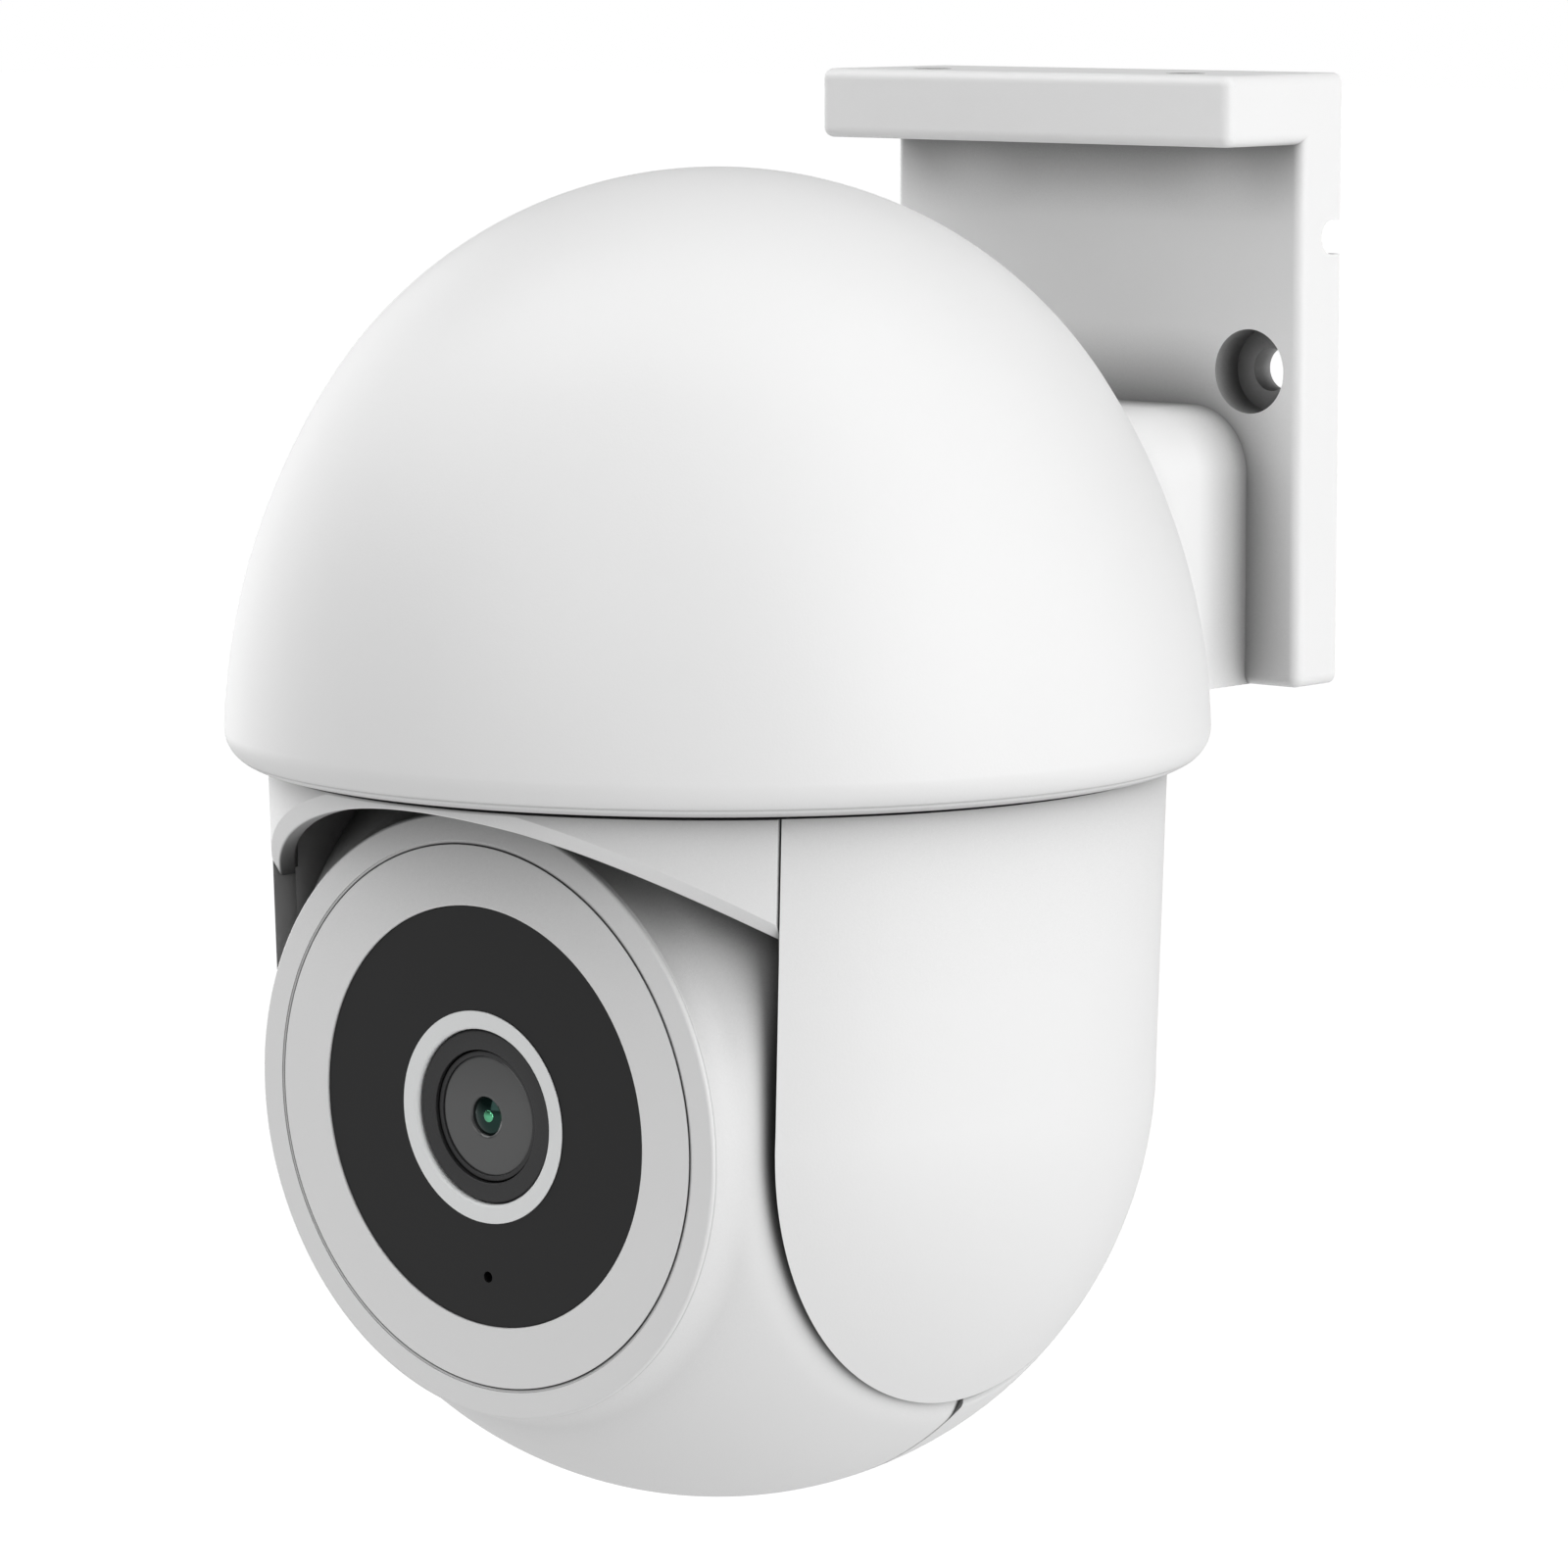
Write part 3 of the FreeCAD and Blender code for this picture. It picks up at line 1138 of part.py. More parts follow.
def infrared_board():
    """The lamp ring behind the window: five lamps, and the microphone in the sixth place."""
    back = "0 - optics_plate_front"
    front = "0 - infrared_front"
    disc = tube("infrared_disc", "Y", "infrared_inner", "infrared_outer", front, back)
    keep("infrared_board", disc, "head")
    lamp = box("infrared_led", ("0 - lamp_half_width", "lamp_half_width"), span(front, -1, "lamp_height"),
               ("lamp_inner", "lamp_outer"))
    places = ring_of("infrared_led_at", lamp, 6, 0, Vector(0, 1, 0))
    del places[len(places) // 2]
    keep("infrared_leds", group("infrared_led_set", places), "head")
    can = cylinder("microphone_can", "Y", "microphone_radius", *span(front, -1, "lamp_height"),
                   ("0", "0 - microphone_drop"))
    keep("microphone", can, "head")


# ---------------------------------------------------------------- build, check and write

wall_bracket()
dome_cover()
neck_fittings()
chassis_plate()
pan_bush()
pan_drive()
main_board()
pan_frame()
housing_shell()
side_covers()
pan_fittings()
trunnions()
head_shells()
head_fittings()
tilt_drive()
face_rings()
lens()
optics_frame()
sensor_board()
infrared_board()
doc.removeObject(probe.Name)
doc.recompute()

failed = [item.Name for item in doc.Objects if {"Invalid", "Error"} & set(item.State)]
if failed:
    raise RuntimeError(f"objects that did not build: {failed}")
for subpart in subparts:
    shape = subpart.Shape
    if shape.isNull() or not shape.isValid() or not shape.Solids:
        raise RuntimeError(f"{subpart.Label} is not a sound solid")
for subpart in subparts:
    subpart.Shape.exportStep(os.path.join("parts", f"{subpart.Label}.step"))
    print(subpart.Label, len(subpart.Shape.Solids), round(subpart.Shape.Volume, 1))
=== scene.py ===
import json
import math

import bmesh
import bpy
from mathutils import Matrix, Vector


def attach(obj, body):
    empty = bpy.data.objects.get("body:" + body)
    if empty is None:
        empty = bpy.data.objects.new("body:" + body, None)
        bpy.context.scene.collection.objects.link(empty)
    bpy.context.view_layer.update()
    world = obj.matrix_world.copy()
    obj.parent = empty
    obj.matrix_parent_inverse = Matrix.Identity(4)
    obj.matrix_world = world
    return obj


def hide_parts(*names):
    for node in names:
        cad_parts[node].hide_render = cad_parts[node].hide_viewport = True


# Looks of a wall-mounted pan and tilt camera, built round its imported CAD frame. Sizes are in millimetres
# and turned into metres by MM; each section says from where they are measured.

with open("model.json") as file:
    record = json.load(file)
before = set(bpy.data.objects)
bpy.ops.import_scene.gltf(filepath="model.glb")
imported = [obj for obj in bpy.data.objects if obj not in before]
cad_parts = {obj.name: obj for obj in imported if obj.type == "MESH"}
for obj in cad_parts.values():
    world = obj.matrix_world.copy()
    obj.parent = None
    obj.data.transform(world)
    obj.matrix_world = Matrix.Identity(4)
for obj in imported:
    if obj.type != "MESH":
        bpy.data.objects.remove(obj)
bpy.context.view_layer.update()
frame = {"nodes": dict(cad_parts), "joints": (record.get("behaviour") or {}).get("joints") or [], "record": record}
MM = 0.001

# ---------------------------------------------------------------- places read from the frame

joints = {joint["name"]: joint for joint in frame["joints"]}
TILT_CENTRE = Vector(joints["tilt"]["pos_m"])
PAN_AXIS = Vector((TILT_CENTRE.x, TILT_CENTRE.y, 0))

# ---------------------------------------------------------------- camera, lights and floor, in metres

VIEW_AZIMUTH = math.radians(40.62)
VIEW_ELEVATION = math.radians(7.5)
VIEW_AIM = Vector((0.0061, -0.0680, -0.0415))
VIEW_DISTANCE = 0.70
LENS_MM = 150.9
SENSOR_MM = 36
CLIP_NEAR, CLIP_FAR = 0.01, 50


def make_camera():
    back = Vector((math.sin(VIEW_AZIMUTH) * math.cos(VIEW_ELEVATION),
                   -math.cos(VIEW_AZIMUTH) * math.cos(VIEW_ELEVATION), math.sin(VIEW_ELEVATION)))
    data = bpy.data.cameras.new("view")
    data.lens = LENS_MM
    data.sensor_width = SENSOR_MM
    data.clip_start, data.clip_end = CLIP_NEAR, CLIP_FAR
    camera = bpy.data.objects.new("view", data)
    camera.location = VIEW_AIM + back * VIEW_DISTANCE
    camera.rotation_euler = (-back).to_track_quat("-Z", "Y").to_euler()
    bpy.context.scene.collection.objects.link(camera)
    bpy.context.scene.camera = camera


SOFTBOX_DISTANCE = 1.6
SOFTBOXES = {
    # name: (azimuth from the front towards +X and elevation in degrees, size in metres, power in watts)
    "key_right": (90, 10, 1.2, 13.4),
    "upper_right": (90, 50, 1.2, 5.1),
    "front_left": (-60, 50, 1.2, 11.6),
    "rim_left": (-100, 10, 1.2, 7.7),
    "overhead": (0, 85, 1.2, 6.0),
    "rim_right": (130, 10, 1.2, 4.7),
    "upper_rim_right": (130, 50, 1.2, 3.9),
    "front_fill": (0, 25, 1.2, 6.6),
}
SKY_ABOVE = 0.05
SKY_BELOW = 0.78
HORIZON = 0.2
FLOOR_LEVEL = -0.9
FLOOR_REACH = 30
FLOOR_GLOW = 1.0


def direction(azimuth, elevation):
    """The unit vector at an azimuth, turned from -Y towards +X, and an elevation, both in degrees."""
    turn, rise = math.radians(azimuth), math.radians(elevation)
    return Vector((math.sin(turn) * math.cos(rise), -math.cos(turn) * math.cos(rise), math.sin(rise)))


def softbox(name, azimuth, elevation, size, power):
    """A square area light that faces the camera head."""
    data = bpy.data.lights.new(name, "AREA")
    data.shape = "SQUARE"
    data.size = size
    data.energy = power
    light = bpy.data.objects.new(name, data)
    towards = direction(azimuth, elevation)
    light.location = TILT_CENTRE + towards * SOFTBOX_DISTANCE
    light.rotation_euler = (-towards).to_track_quat("-Z", "Y").to_euler()
    light.visible_camera = False
    bpy.context.scene.collection.objects.link(light)


def make_world():
    """White all round to the eye; the light it sheds differs above and below the horizon."""
    world = bpy.data.worlds.new("studio")
    world.use_nodes = True
    nodes, links = world.node_tree.nodes, world.node_tree.links
    nodes.clear()
    output = nodes.new("ShaderNodeOutputWorld")
    seen = nodes.new("ShaderNodeBackground")
    around = nodes.new("ShaderNodeBackground")
    for background in (seen, around):
        background.inputs["Color"].default_value = (1, 1, 1, 1)
    place = nodes.new("ShaderNodeTexCoord")
    split = nodes.new("ShaderNodeSeparateXYZ")
    height = nodes.new("ShaderNodeMapRange")
    height.inputs["From Min"].default_value = -HORIZON
    height.inputs["From Max"].default_value = HORIZON
    height.inputs["To Min"].default_value = SKY_BELOW
    height.inputs["To Max"].default_value = SKY_ABOVE
    path = nodes.new("ShaderNodeLightPath")
    mix = nodes.new("ShaderNodeMixShader")
    links.new(place.outputs["Generated"], split.inputs[0])
    links.new(split.outputs["Z"], height.inputs["Value"])
    links.new(height.outputs["Result"], around.inputs["Strength"])
    links.new(path.outputs["Is Camera Ray"], mix.inputs["Fac"])
    links.new(around.outputs[0], mix.inputs[1])
    links.new(seen.outputs[0], mix.inputs[2])
    links.new(mix.outputs[0], output.inputs["Surface"])
    bpy.context.scene.world = world


def make_floor():
    mesh = bpy.data.meshes.new("floor")
    signs = ((-1, -1), (1, -1), (1, 1), (-1, 1))
    corners = [(x * FLOOR_REACH, y * FLOOR_REACH, FLOOR_LEVEL) for x, y in signs]
    mesh.from_pydata(corners, [], [(0, 1, 2, 3)])
    floor = bpy.data.objects.new("floor", mesh)
    bpy.context.scene.collection.objects.link(floor)
    material = bpy.data.materials.new("pale_floor")
    material.use_nodes = True
    shader = material.node_tree.nodes["Principled BSDF"]
    shader.inputs["Base Color"].default_value = (0.9, 0.9, 0.9, 1)
    shader.inputs["Roughness"].default_value = 1.0
    shader.inputs["Specular IOR Level"].default_value = 0.0
    shader.inputs["Emission Color"].default_value = (1, 1, 1, 1)
    shader.inputs["Emission Strength"].default_value = FLOOR_GLOW
    mesh.materials.append(material)
    floor.visible_diffuse = False
    floor.visible_glossy = False


def make_studio():
    for name, settings in SOFTBOXES.items():
        softbox(name, *settings)
    make_world()
    make_floor()
    bpy.context.scene.view_settings.view_transform = "Standard"


# ---------------------------------------------------------------- materials

# painted shade in crevices and under overhangs: how steeply it darkens, its darkest colour and its occlusion
# samples
PAINTED_SHADE_POWER = 1.7
PAINTED_SHADE_COLOUR = (0.03, 0.03, 0.03)
PAINTED_SHADE_SAMPLES = 8
SLOW_SCALE = 28
GLOSS_SPREAD = 0.05
COAT_ROUGHNESS = 0.08
BUMP_STRENGTH = 0.5
GLASS_ROUGHNESS = 0.1
GLASS_FACING = 0.35
GLASS_EDGE_COLOUR = (0.012, 0.013, 0.014)


def painted_crevice_shade(nodes, links, colour, reach):
    """The colour with painted shade: darker in any crevice and under overhangs within reach millimetres, by
    ambient occlusion.
    """
    hollow = nodes.new("ShaderNodeAmbientOcclusion")
    hollow.samples = PAINTED_SHADE_SAMPLES
    hollow.inputs["Distance"].default_value = reach * MM
    curve = nodes.new("ShaderNodeMath")
    curve.operation = "POWER"
    curve.inputs[1].default_value = PAINTED_SHADE_POWER
    links.new(hollow.outputs["AO"], curve.inputs[0])
    shade = nodes.new("ShaderNodeMix")
    shade.data_type = "RGBA"
    shade.inputs["A"].default_value = (*PAINTED_SHADE_COLOUR, 1)
    links.new(curve.outputs[0], shade.inputs["Factor"])
    links.new(colour, shade.inputs["B"])
    return shade.outputs["Result"]


def moulded(name, colour, roughness, grain=0.25, relief=0.02, drift=0.015, coat=0.0, metallic=0.0,
            specular=0.5, painted_shade_reach=0):
    """Plastic or metal with a fine spark texture, grain wide and relief deep, and a slow colour drift.

    Painted shade darkens any crevice narrower than the given reach; 0 leaves every crevice alone.
    """
    material = bpy.data.materials.new(name)
    material.use_nodes = True
    nodes, links = material.node_tree.nodes, material.node_tree.links
    shader = nodes["Principled BSDF"]
    shader.inputs["Metallic"].default_value = metallic
    shader.inputs["Coat Weight"].default_value = coat
    shader.inputs["Coat Roughness"].default_value = COAT_ROUGHNESS
    shader.inputs["Specular IOR Level"].default_value = specular
    place = nodes.new("ShaderNodeTexCoord")
    fine = nodes.new("ShaderNodeTexNoise")
    fine.inputs["Scale"].default_value = 1 / (grain * MM)
    fine.inputs["Detail"].default_value = 3
    slow = nodes.new("ShaderNodeTexNoise")
    slow.inputs["Scale"].default_value = SLOW_SCALE
    slow.inputs["Detail"].default_value = 2
    for texture in (fine, slow):
        links.new(place.outputs["Object"], texture.inputs["Vector"])
    tint = nodes.new("ShaderNodeMix")
    tint.data_type = "RGBA"
    tint.inputs["A"].default_value = (*[max(0.0, part * (1 - drift)) for part in colour], 1)
    tint.inputs["B"].default_value = (*[min(1.0, part * (1 + drift)) for part in colour], 1)
    links.new(slow.outputs["Fac"], tint.inputs["Factor"])
    base = tint.outputs["Result"]
    # painted shade: the colour goes darker in creases and under overhangs, where shade falls
    if painted_shade_reach:
        base = painted_crevice_shade(nodes, links, base, painted_shade_reach)
    links.new(base, shader.inputs["Base Color"])
    gloss = nodes.new("ShaderNodeMapRange")
    gloss.inputs["To Min"].default_value = roughness - GLOSS_SPREAD
    gloss.inputs["To Max"].default_value = roughness + GLOSS_SPREAD
    links.new(fine.outputs["Fac"], gloss.inputs["Value"])
    links.new(gloss.outputs["Result"], shader.inputs["Roughness"])
    bump = nodes.new("ShaderNodeBump")
    bump.inputs["Strength"].default_value = BUMP_STRENGTH
    bump.inputs["Distance"].default_value = relief * MM
    links.new(fine.outputs["Fac"], bump.inputs["Height"])
    links.new(bump.outputs["Normal"], shader.inputs["Normal"])
    return material


def lens_glass(name, depth, mirror):
    """Coated glass of colour depth, darker where it slants away; mirror is how metallic its coating is."""
    material = bpy.data.materials.new(name)
    material.use_nodes = True
    nodes, links = material.node_tree.nodes, material.node_tree.links
    shader = nodes["Principled BSDF"]
    shader.inputs["Roughness"].default_value = GLASS_ROUGHNESS
    shader.inputs["Metallic"].default_value = mirror
    facing = nodes.new("ShaderNodeLayerWeight")
    facing.inputs["Blend"].default_value = GLASS_FACING
    ramp = nodes.new("ShaderNodeValToRGB")
    ramp.color_ramp.elements[0].color = (*depth, 1)
    ramp.color_ramp.elements[1].color = (*GLASS_EDGE_COLOUR, 1)
    links.new(facing.outputs["Facing"], ramp.inputs["Fac"])
    links.new(ramp.outputs["Color"], shader.inputs["Base Color"])
    return material


FINISHES = {
    # white_plastic and bracket_plastic carry painted shade in crevices, with reaches of 20 and 9 mm
    "white_plastic": dict(colour=(0.76, 0.76, 0.76), roughness=0.45, painted_shade_reach=20),
    "bracket_plastic": dict(colour=(0.76, 0.76, 0.76), roughness=0.45, painted_shade_reach=9),
    # painted shade: a grey that stands in for the shade on the side covers' rims and inner faces
    "painted_shade_grey": dict(colour=(0.42, 0.42, 0.42), roughness=0.6),
    "bezel_grey": dict(colour=(0.78, 0.79, 0.79), roughness=0.35, relief=0.01),
    "black_window": dict(colour=(0.011, 0.011, 0.0115), roughness=0.42, relief=0.002, drift=0.05,
                         specular=0.32),
    "dark_plastic": dict(colour=(0.022, 0.022, 0.023), roughness=0.5, relief=0.03),
    "bearing_plastic": dict(colour=(0.78, 0.76, 0.69), roughness=0.4),
    "chassis_plastic": dict(colour=(0.42, 0.42, 0.42), roughness=0.6, relief=0.03),
    "steel": dict(colour=(0.60, 0.60, 0.61), roughness=0.3, grain=0.12, metallic=1.0),
    "motor_steel": dict(colour=(0.52, 0.53, 0.54), roughness=0.35, grain=0.2, metallic=1.0),
    "circuit_board": dict(colour=(0.015, 0.13, 0.055), roughness=0.35, grain=0.6, drift=0.2),
    "chip": dict(colour=(0.025, 0.025, 0.026), roughness=0.55, relief=0.03),
    "aluminium": dict(colour=(0.74, 0.75, 0.76), roughness=0.4, grain=0.2, metallic=1.0),
    "copper_film": dict(colour=(0.50, 0.26, 0.09), roughness=0.35, grain=0.5, drift=0.1),
    "connector_plastic": dict(colour=(0.84, 0.82, 0.75), roughness=0.45),
    "led_lens": dict(colour=(0.09, 0.05, 0.07), roughness=0.1, relief=0.0, drift=0.1, coat=0.5),
    "rubber": dict(colour=(0.03, 0.03, 0.03), roughness=0.75, grain=0.35, relief=0.05),
}
GLASSES = {
    # finish: (material name, colour of its depth, how metallic)
    "lens_glass": ("coated_glass", (0.105, 0.106, 0.106), 0.0),
    # painted glint: the small lens's bright green stands in for a reflection in the lens
    "painted_glint_glass": ("painted_glint_glass", (0.16, 0.62, 0.34), 0.9),
    "pupil": ("coated_pupil", (0.016, 0.045, 0.038), 0.8),
}


def dress_nodes():
    """Makes the materials; every carried-over CAD node takes its slot's, the bracket one of its own."""
    made = {slot: moulded(slot, **finish) for slot, finish in FINISHES.items()}
    made.update({finish: lens_glass(*glass) for finish, glass in GLASSES.items()})
    for part in frame["record"]["subparts"]:
        mesh = frame["nodes"][part["node"]].data
        mesh.materials.clear()
        # the bracket's own material differs only in a shorter reach of painted crevice shade
        finish = "bracket_plastic" if part["node"] == "wall_bracket" else part["material_slot"]
        mesh.materials.append(made[finish])
    return made


# ---------------------------------------------------------------- mesh helpers

HEAD_TILT = math.radians(2.2)  # how far the face looks down at rest
HEAD = Matrix.Translation(TILT_CENTRE) @ Matrix.Rotation(HEAD_TILT, 4, "X")
PAN = Matrix.Translation(PAN_AXIS)
TURN_STEPS = 192
AXIS_RADIUS = 0.001  # stands in for 0 where an outline meets its axis
MERGE = 0.004  # closer points become one
BEVEL_ANGLE = math.radians(38)
BEVEL_SEGMENTS = 3


def rounded(corners, steps=6):
    """A closed outline in millimetres through (across, up, radius) corners, each rounded to its radius."""
    points = []
    for index, (across, up, radius) in enumerate(corners):
        here = Vector((across, up))
        if not radius:
            points.append(here)
            continue
        before = (Vector(corners[index - 1][:2]) - here).normalized()
        after = (Vector(corners[(index + 1) % len(corners)][:2]) - here).normalized()
        half = before.angle(after) / 2
        centre = here + (before + after).normalized() * (radius / math.sin(half))
        reach = radius / math.tan(half)
        first, last = here + before * reach - centre, here + after * reach - centre
        start = math.atan2(first.y, first.x)
        sweep = (math.atan2(last.y, last.x) - start + math.pi) % (2 * math.pi) - math.pi
        for step in range(steps + 1):
            angle = start + sweep * step / steps
            points.append(centre + Vector((math.cos(angle), math.sin(angle))) * radius)
    return points


def add_rings(mesh, rings, closed):
    """Quads between neighbouring rings of points; open rows get a cap at each end."""
    rows = [[mesh.verts.new(point) for point in ring] for ring in rings]
    count = len(rows[0])
    spans = len(rows) if closed else len(rows) - 1
    for index in range(spans):
        row, following = rows[index], rows[(index + 1) % len(rows)]
        for place in range(count):
            onward = (place + 1) % count
            mesh.faces.new((row[place], row[onward], following[onward], following[place]))
    if not closed:
        mesh.faces.new(rows[0])
        mesh.faces.new(rows[-1][::-1])


def add_lathe(mesh, outline, place, steps=TURN_STEPS, axis="Y"):
    """Turns a closed (radius, forward) outline about -Y, or a (radius, height) outline about Z."""
    rings = []
    for step in range(steps):
        angle = 2 * math.pi * step / steps
        ring = []
        for radius, along in outline:
            side, rise = radius * math.cos(angle), radius * math.sin(angle)
            spot = (side, -along, rise) if axis == "Y" else (side, rise, along)
            ring.append(place @ (Vector(spot) * MM))
        rings.append(ring)
    add_rings(mesh, rings, closed=True)


def piece(name, mesh, body, slot, *replaced, soften=0.0):
    """Makes the object, smooths it, hangs it on the body it rides on and hides the CAD nodes it replaces."""
    bmesh.ops.recalc_face_normals(mesh, faces=mesh.faces)
    data = bpy.data.meshes.new(name)
    mesh.to_mesh(data)
    mesh.free()
    data.shade_smooth()
    made = bpy.data.objects.new(name, data)
    bpy.context.scene.collection.objects.link(made)
    if soften:
        bevel = made.modifiers.new("edges", "BEVEL")
        bevel.width = soften * MM
        bevel.segments = BEVEL_SEGMENTS
        bevel.limit_method = "ANGLE"
        bevel.angle_limit = BEVEL_ANGLE
    even = made.modifiers.new("normals", "WEIGHTED_NORMAL")
    even.keep_sharp = True
    data.materials.append(materials[slot])
    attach(made, body)
    if replaced:
        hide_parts(*replaced)
    return made


def lathe_piece(name, corners, body, slot, *replaced):
    mesh = bmesh.new()
    add_lathe(mesh, rounded(corners), HEAD)
    return piece(name, mesh, body, slot, *replaced)


# ---------------------------------------------------------------- face of the head
# Outlines are (radius, forward) from the tilt centre, or (radius, forward, rounding) at a corner.

FACE = 37.1
GROOVE, GROOVE_HALF, GROOVE_FLOOR = 28.68, 0.2, 36.99
BEZEL_EDGE = GROOVE - GROOVE_HALF
TRIM_FRONT, TRIM_BACK, TRIM_STEP = FACE - 0.03, 34.1, 36.95
TRIM_INNER, TRIM_OUTER, TRIM_SEAT = 9.2, 11.15, 11.05
BEZEL_OUTLINE = [
    (22.08, FACE, 0.2), (BEZEL_EDGE, FACE, 0.05), (BEZEL_EDGE, 34.5, 0), (28.2, 34.5, 0),
    (28.2, 33.9, 0), (20.2, 33.9, 0), (20.2, 34.85, 0), (22.08, 34.85, 0)]
TRIM_OUTLINE = [
    (TRIM_INNER, TRIM_FRONT, 0.4), (TRIM_OUTER, TRIM_FRONT, 0.08), (TRIM_OUTER, TRIM_STEP, 0),
    (TRIM_SEAT, TRIM_STEP, 0), (TRIM_SEAT, TRIM_BACK, 0), (TRIM_INNER, TRIM_BACK, 0)]
COWL_OUTLINE = [
    (7.0, 36.62, 0.12), (8.9, 36.62, 0.1), (9.15, 36.3, 0), (9.15, 33, 0), (7.0, 33, 0)]
BARREL_OUTLINE = [
    (6.3, 36.25, 0.1), (6.85, 36.25, 0.15), (6.85, 28, 0), (6, 28, 0),
    (6, 19.5, 0), (3.4, 19.5, 0), (3.4, 31, 0), (6.3, 33, 0)]


def make_face():
    """The bezel, the trim ring, the shallow cowl, the lens barrel and the glasses in its mouth."""
    lathe_piece("bezel_ring", BEZEL_OUTLINE, "camera_head", "white_plastic", "face_bezel")
    lathe_piece("trim_ring", TRIM_OUTLINE, "camera_head", "bezel_grey", "lens_trim_ring")
    lathe_piece("cowl_ring", COWL_OUTLINE, "camera_head", "dark_plastic", "lens_cowl")
    lathe_piece("barrel_head", BARREL_OUTLINE, "camera_head", "dark_plastic", "lens_barrel")
    make_front_glass()


GLASS_RIM = 6.35
GLASS_EDGE = 36.05
GLASS_CROWN = 0.45
GLASS_BACK = 35
GLASS_STEPS = 14
PUPIL = 2.1
PUPIL_GAP, PUPIL_DROP, PUPIL_CROWN = 0.02, 0.35, 0.55
# the painted glint: a small bright green dome right of the pupil's middle
GLINT, GLINT_DEPTH, GLINT_DROP, GLINT_CROWN = 0.62, 0.5, 0.02, 0.12
GLINT_PLACE = Vector((0.5, 0, 0.1))
PUPIL_TURN_STEPS, GLINT_TURN_STEPS = 96, 48


def glass_height(radius):
    """How far forward the front glass's domed face stands."""
    return GLASS_EDGE + GLASS_CROWN * (1 - (radius / GLASS_RIM) ** 2)


def crowned(radius, height, crown, back):
    """A small lens's closed outline: flat behind, its rim at height, its middle crown higher."""
    across = [radius * (1 - step / GLASS_STEPS) + AXIS_RADIUS for step in range(GLASS_STEPS + 1)]
    return [(AXIS_RADIUS, back), (radius, back)] + [
        (spot, height + crown * (1 - (spot / radius) ** 2)) for spot in across]


def small_lens(name, outline, place, steps, finish):
    """A lens whose glass differs from its slot's."""
    mesh = bmesh.new()
    add_lathe(mesh, outline, place, steps)
    bmesh.ops.remove_doubles(mesh, verts=mesh.verts, dist=MERGE * MM)
    made = piece(name, mesh, "camera_head", "lens_glass")
    made.data.materials[0] = materials[finish]


def make_front_glass():
    """A shallow domed glass about a dark coated pupil, with a small bright green lens in it whose colour is a
    painted glint.
    """
    across = [GLASS_RIM + (PUPIL - GLASS_RIM) * step / GLASS_STEPS for step in range(GLASS_STEPS + 1)]
    dome = [(radius, glass_height(radius)) for radius in across]
    mesh = bmesh.new()
    add_lathe(mesh, [(PUPIL, GLASS_BACK), (GLASS_RIM, GLASS_BACK)] + dome, HEAD)
    piece("front_glass", mesh, "camera_head", "lens_glass", "front_lens")
    pupil_height = glass_height(PUPIL) - PUPIL_DROP
    pupil = crowned(PUPIL - PUPIL_GAP, pupil_height, PUPIL_CROWN, GLASS_BACK)
    small_lens("lens_pupil", pupil, HEAD, PUPIL_TURN_STEPS, "pupil")
    top = pupil_height + PUPIL_CROWN
    # the painted glint sits on the pupil's crown
    glint = crowned(GLINT, top - GLINT_DROP, GLINT_CROWN, top - GLINT_DEPTH)
    place = HEAD @ Matrix.Translation(GLINT_PLACE * MM)
    small_lens("painted_glint_lens", glint, place, GLINT_TURN_STEPS, "painted_glint_glass")


# ---------------------------------------------------------------- ball
# (radius, forward) from the tilt centre, as for the face. The sides are flattened next to the covers.

BALL = 46.9
BALL_WALL = 2.2
BARREL = 31.8
BARREL_BLEND = 6
RIM_ROUND = 0.4
SIDE_REAR, SIDE_FRONT = 32.8, 33.6
SIDE_TAPER = 12
SIDE_SOFT = 2.4
BALL_STEPS = 288
OPENING, SEAT, RIM_FLOOR = 20.4, 34.4, 32.2
SEAT_GAP = 0.005


def arc(centre, radius, start, finish, steps):
    """Points on an arc in the (radius, forward) plane, angles in radians."""
    for step in range(steps + 1):
        angle = start + (finish - start) * step / steps
        yield Vector((centre[0] + radius * math.cos(angle), centre[1] + radius * math.sin(angle)))


def ball_outline():
    """The front half's section, each point with how far it stays inside the flat side.

    It runs from the bezel's seat over the rim, the short barrel, the hollow blend and the ball,
    then back along the inside.
    """
    blend_radius = BARREL + BARREL_BLEND
    centre = (blend_radius, math.sqrt((BALL + BARREL_BLEND) ** 2 - blend_radius ** 2))
    slope = math.atan2(centre[1], centre[0])
    inside = BALL - BALL_WALL
    wall, groove_wall = BEZEL_EDGE + SEAT_GAP, GROOVE + GROOVE_HALF
    rim = rounded([(OPENING, SEAT, 0), (wall, SEAT, 0), (wall, GROOVE_FLOOR, 0),
                   (groove_wall, GROOVE_FLOOR, 0.04), (groove_wall, FACE, 0.05), (BARREL, FACE, RIM_ROUND),
                   (BARREL, RIM_FLOOR, 0), (OPENING, RIM_FLOOR, 0)])[:-2]
    behind_rim = math.asin((centre[1] - FACE + RIM_ROUND) / BARREL_BLEND)
    outer = list(arc(centre, BARREL_BLEND, math.pi + behind_rim, math.pi + slope, 16))
    outer += list(arc((0, 0), BALL, slope, 0, 56))[1:]
    inner_end = math.asin(RIM_FLOOR / inside)
    inner = list(arc((0, 0), inside, 0, inner_end, 40))
    return [(point, 0) for point in rim + outer] + [(point, BALL_WALL) for point in inner] + [
        (Vector((OPENING, RIM_FLOOR)), BALL_WALL)]


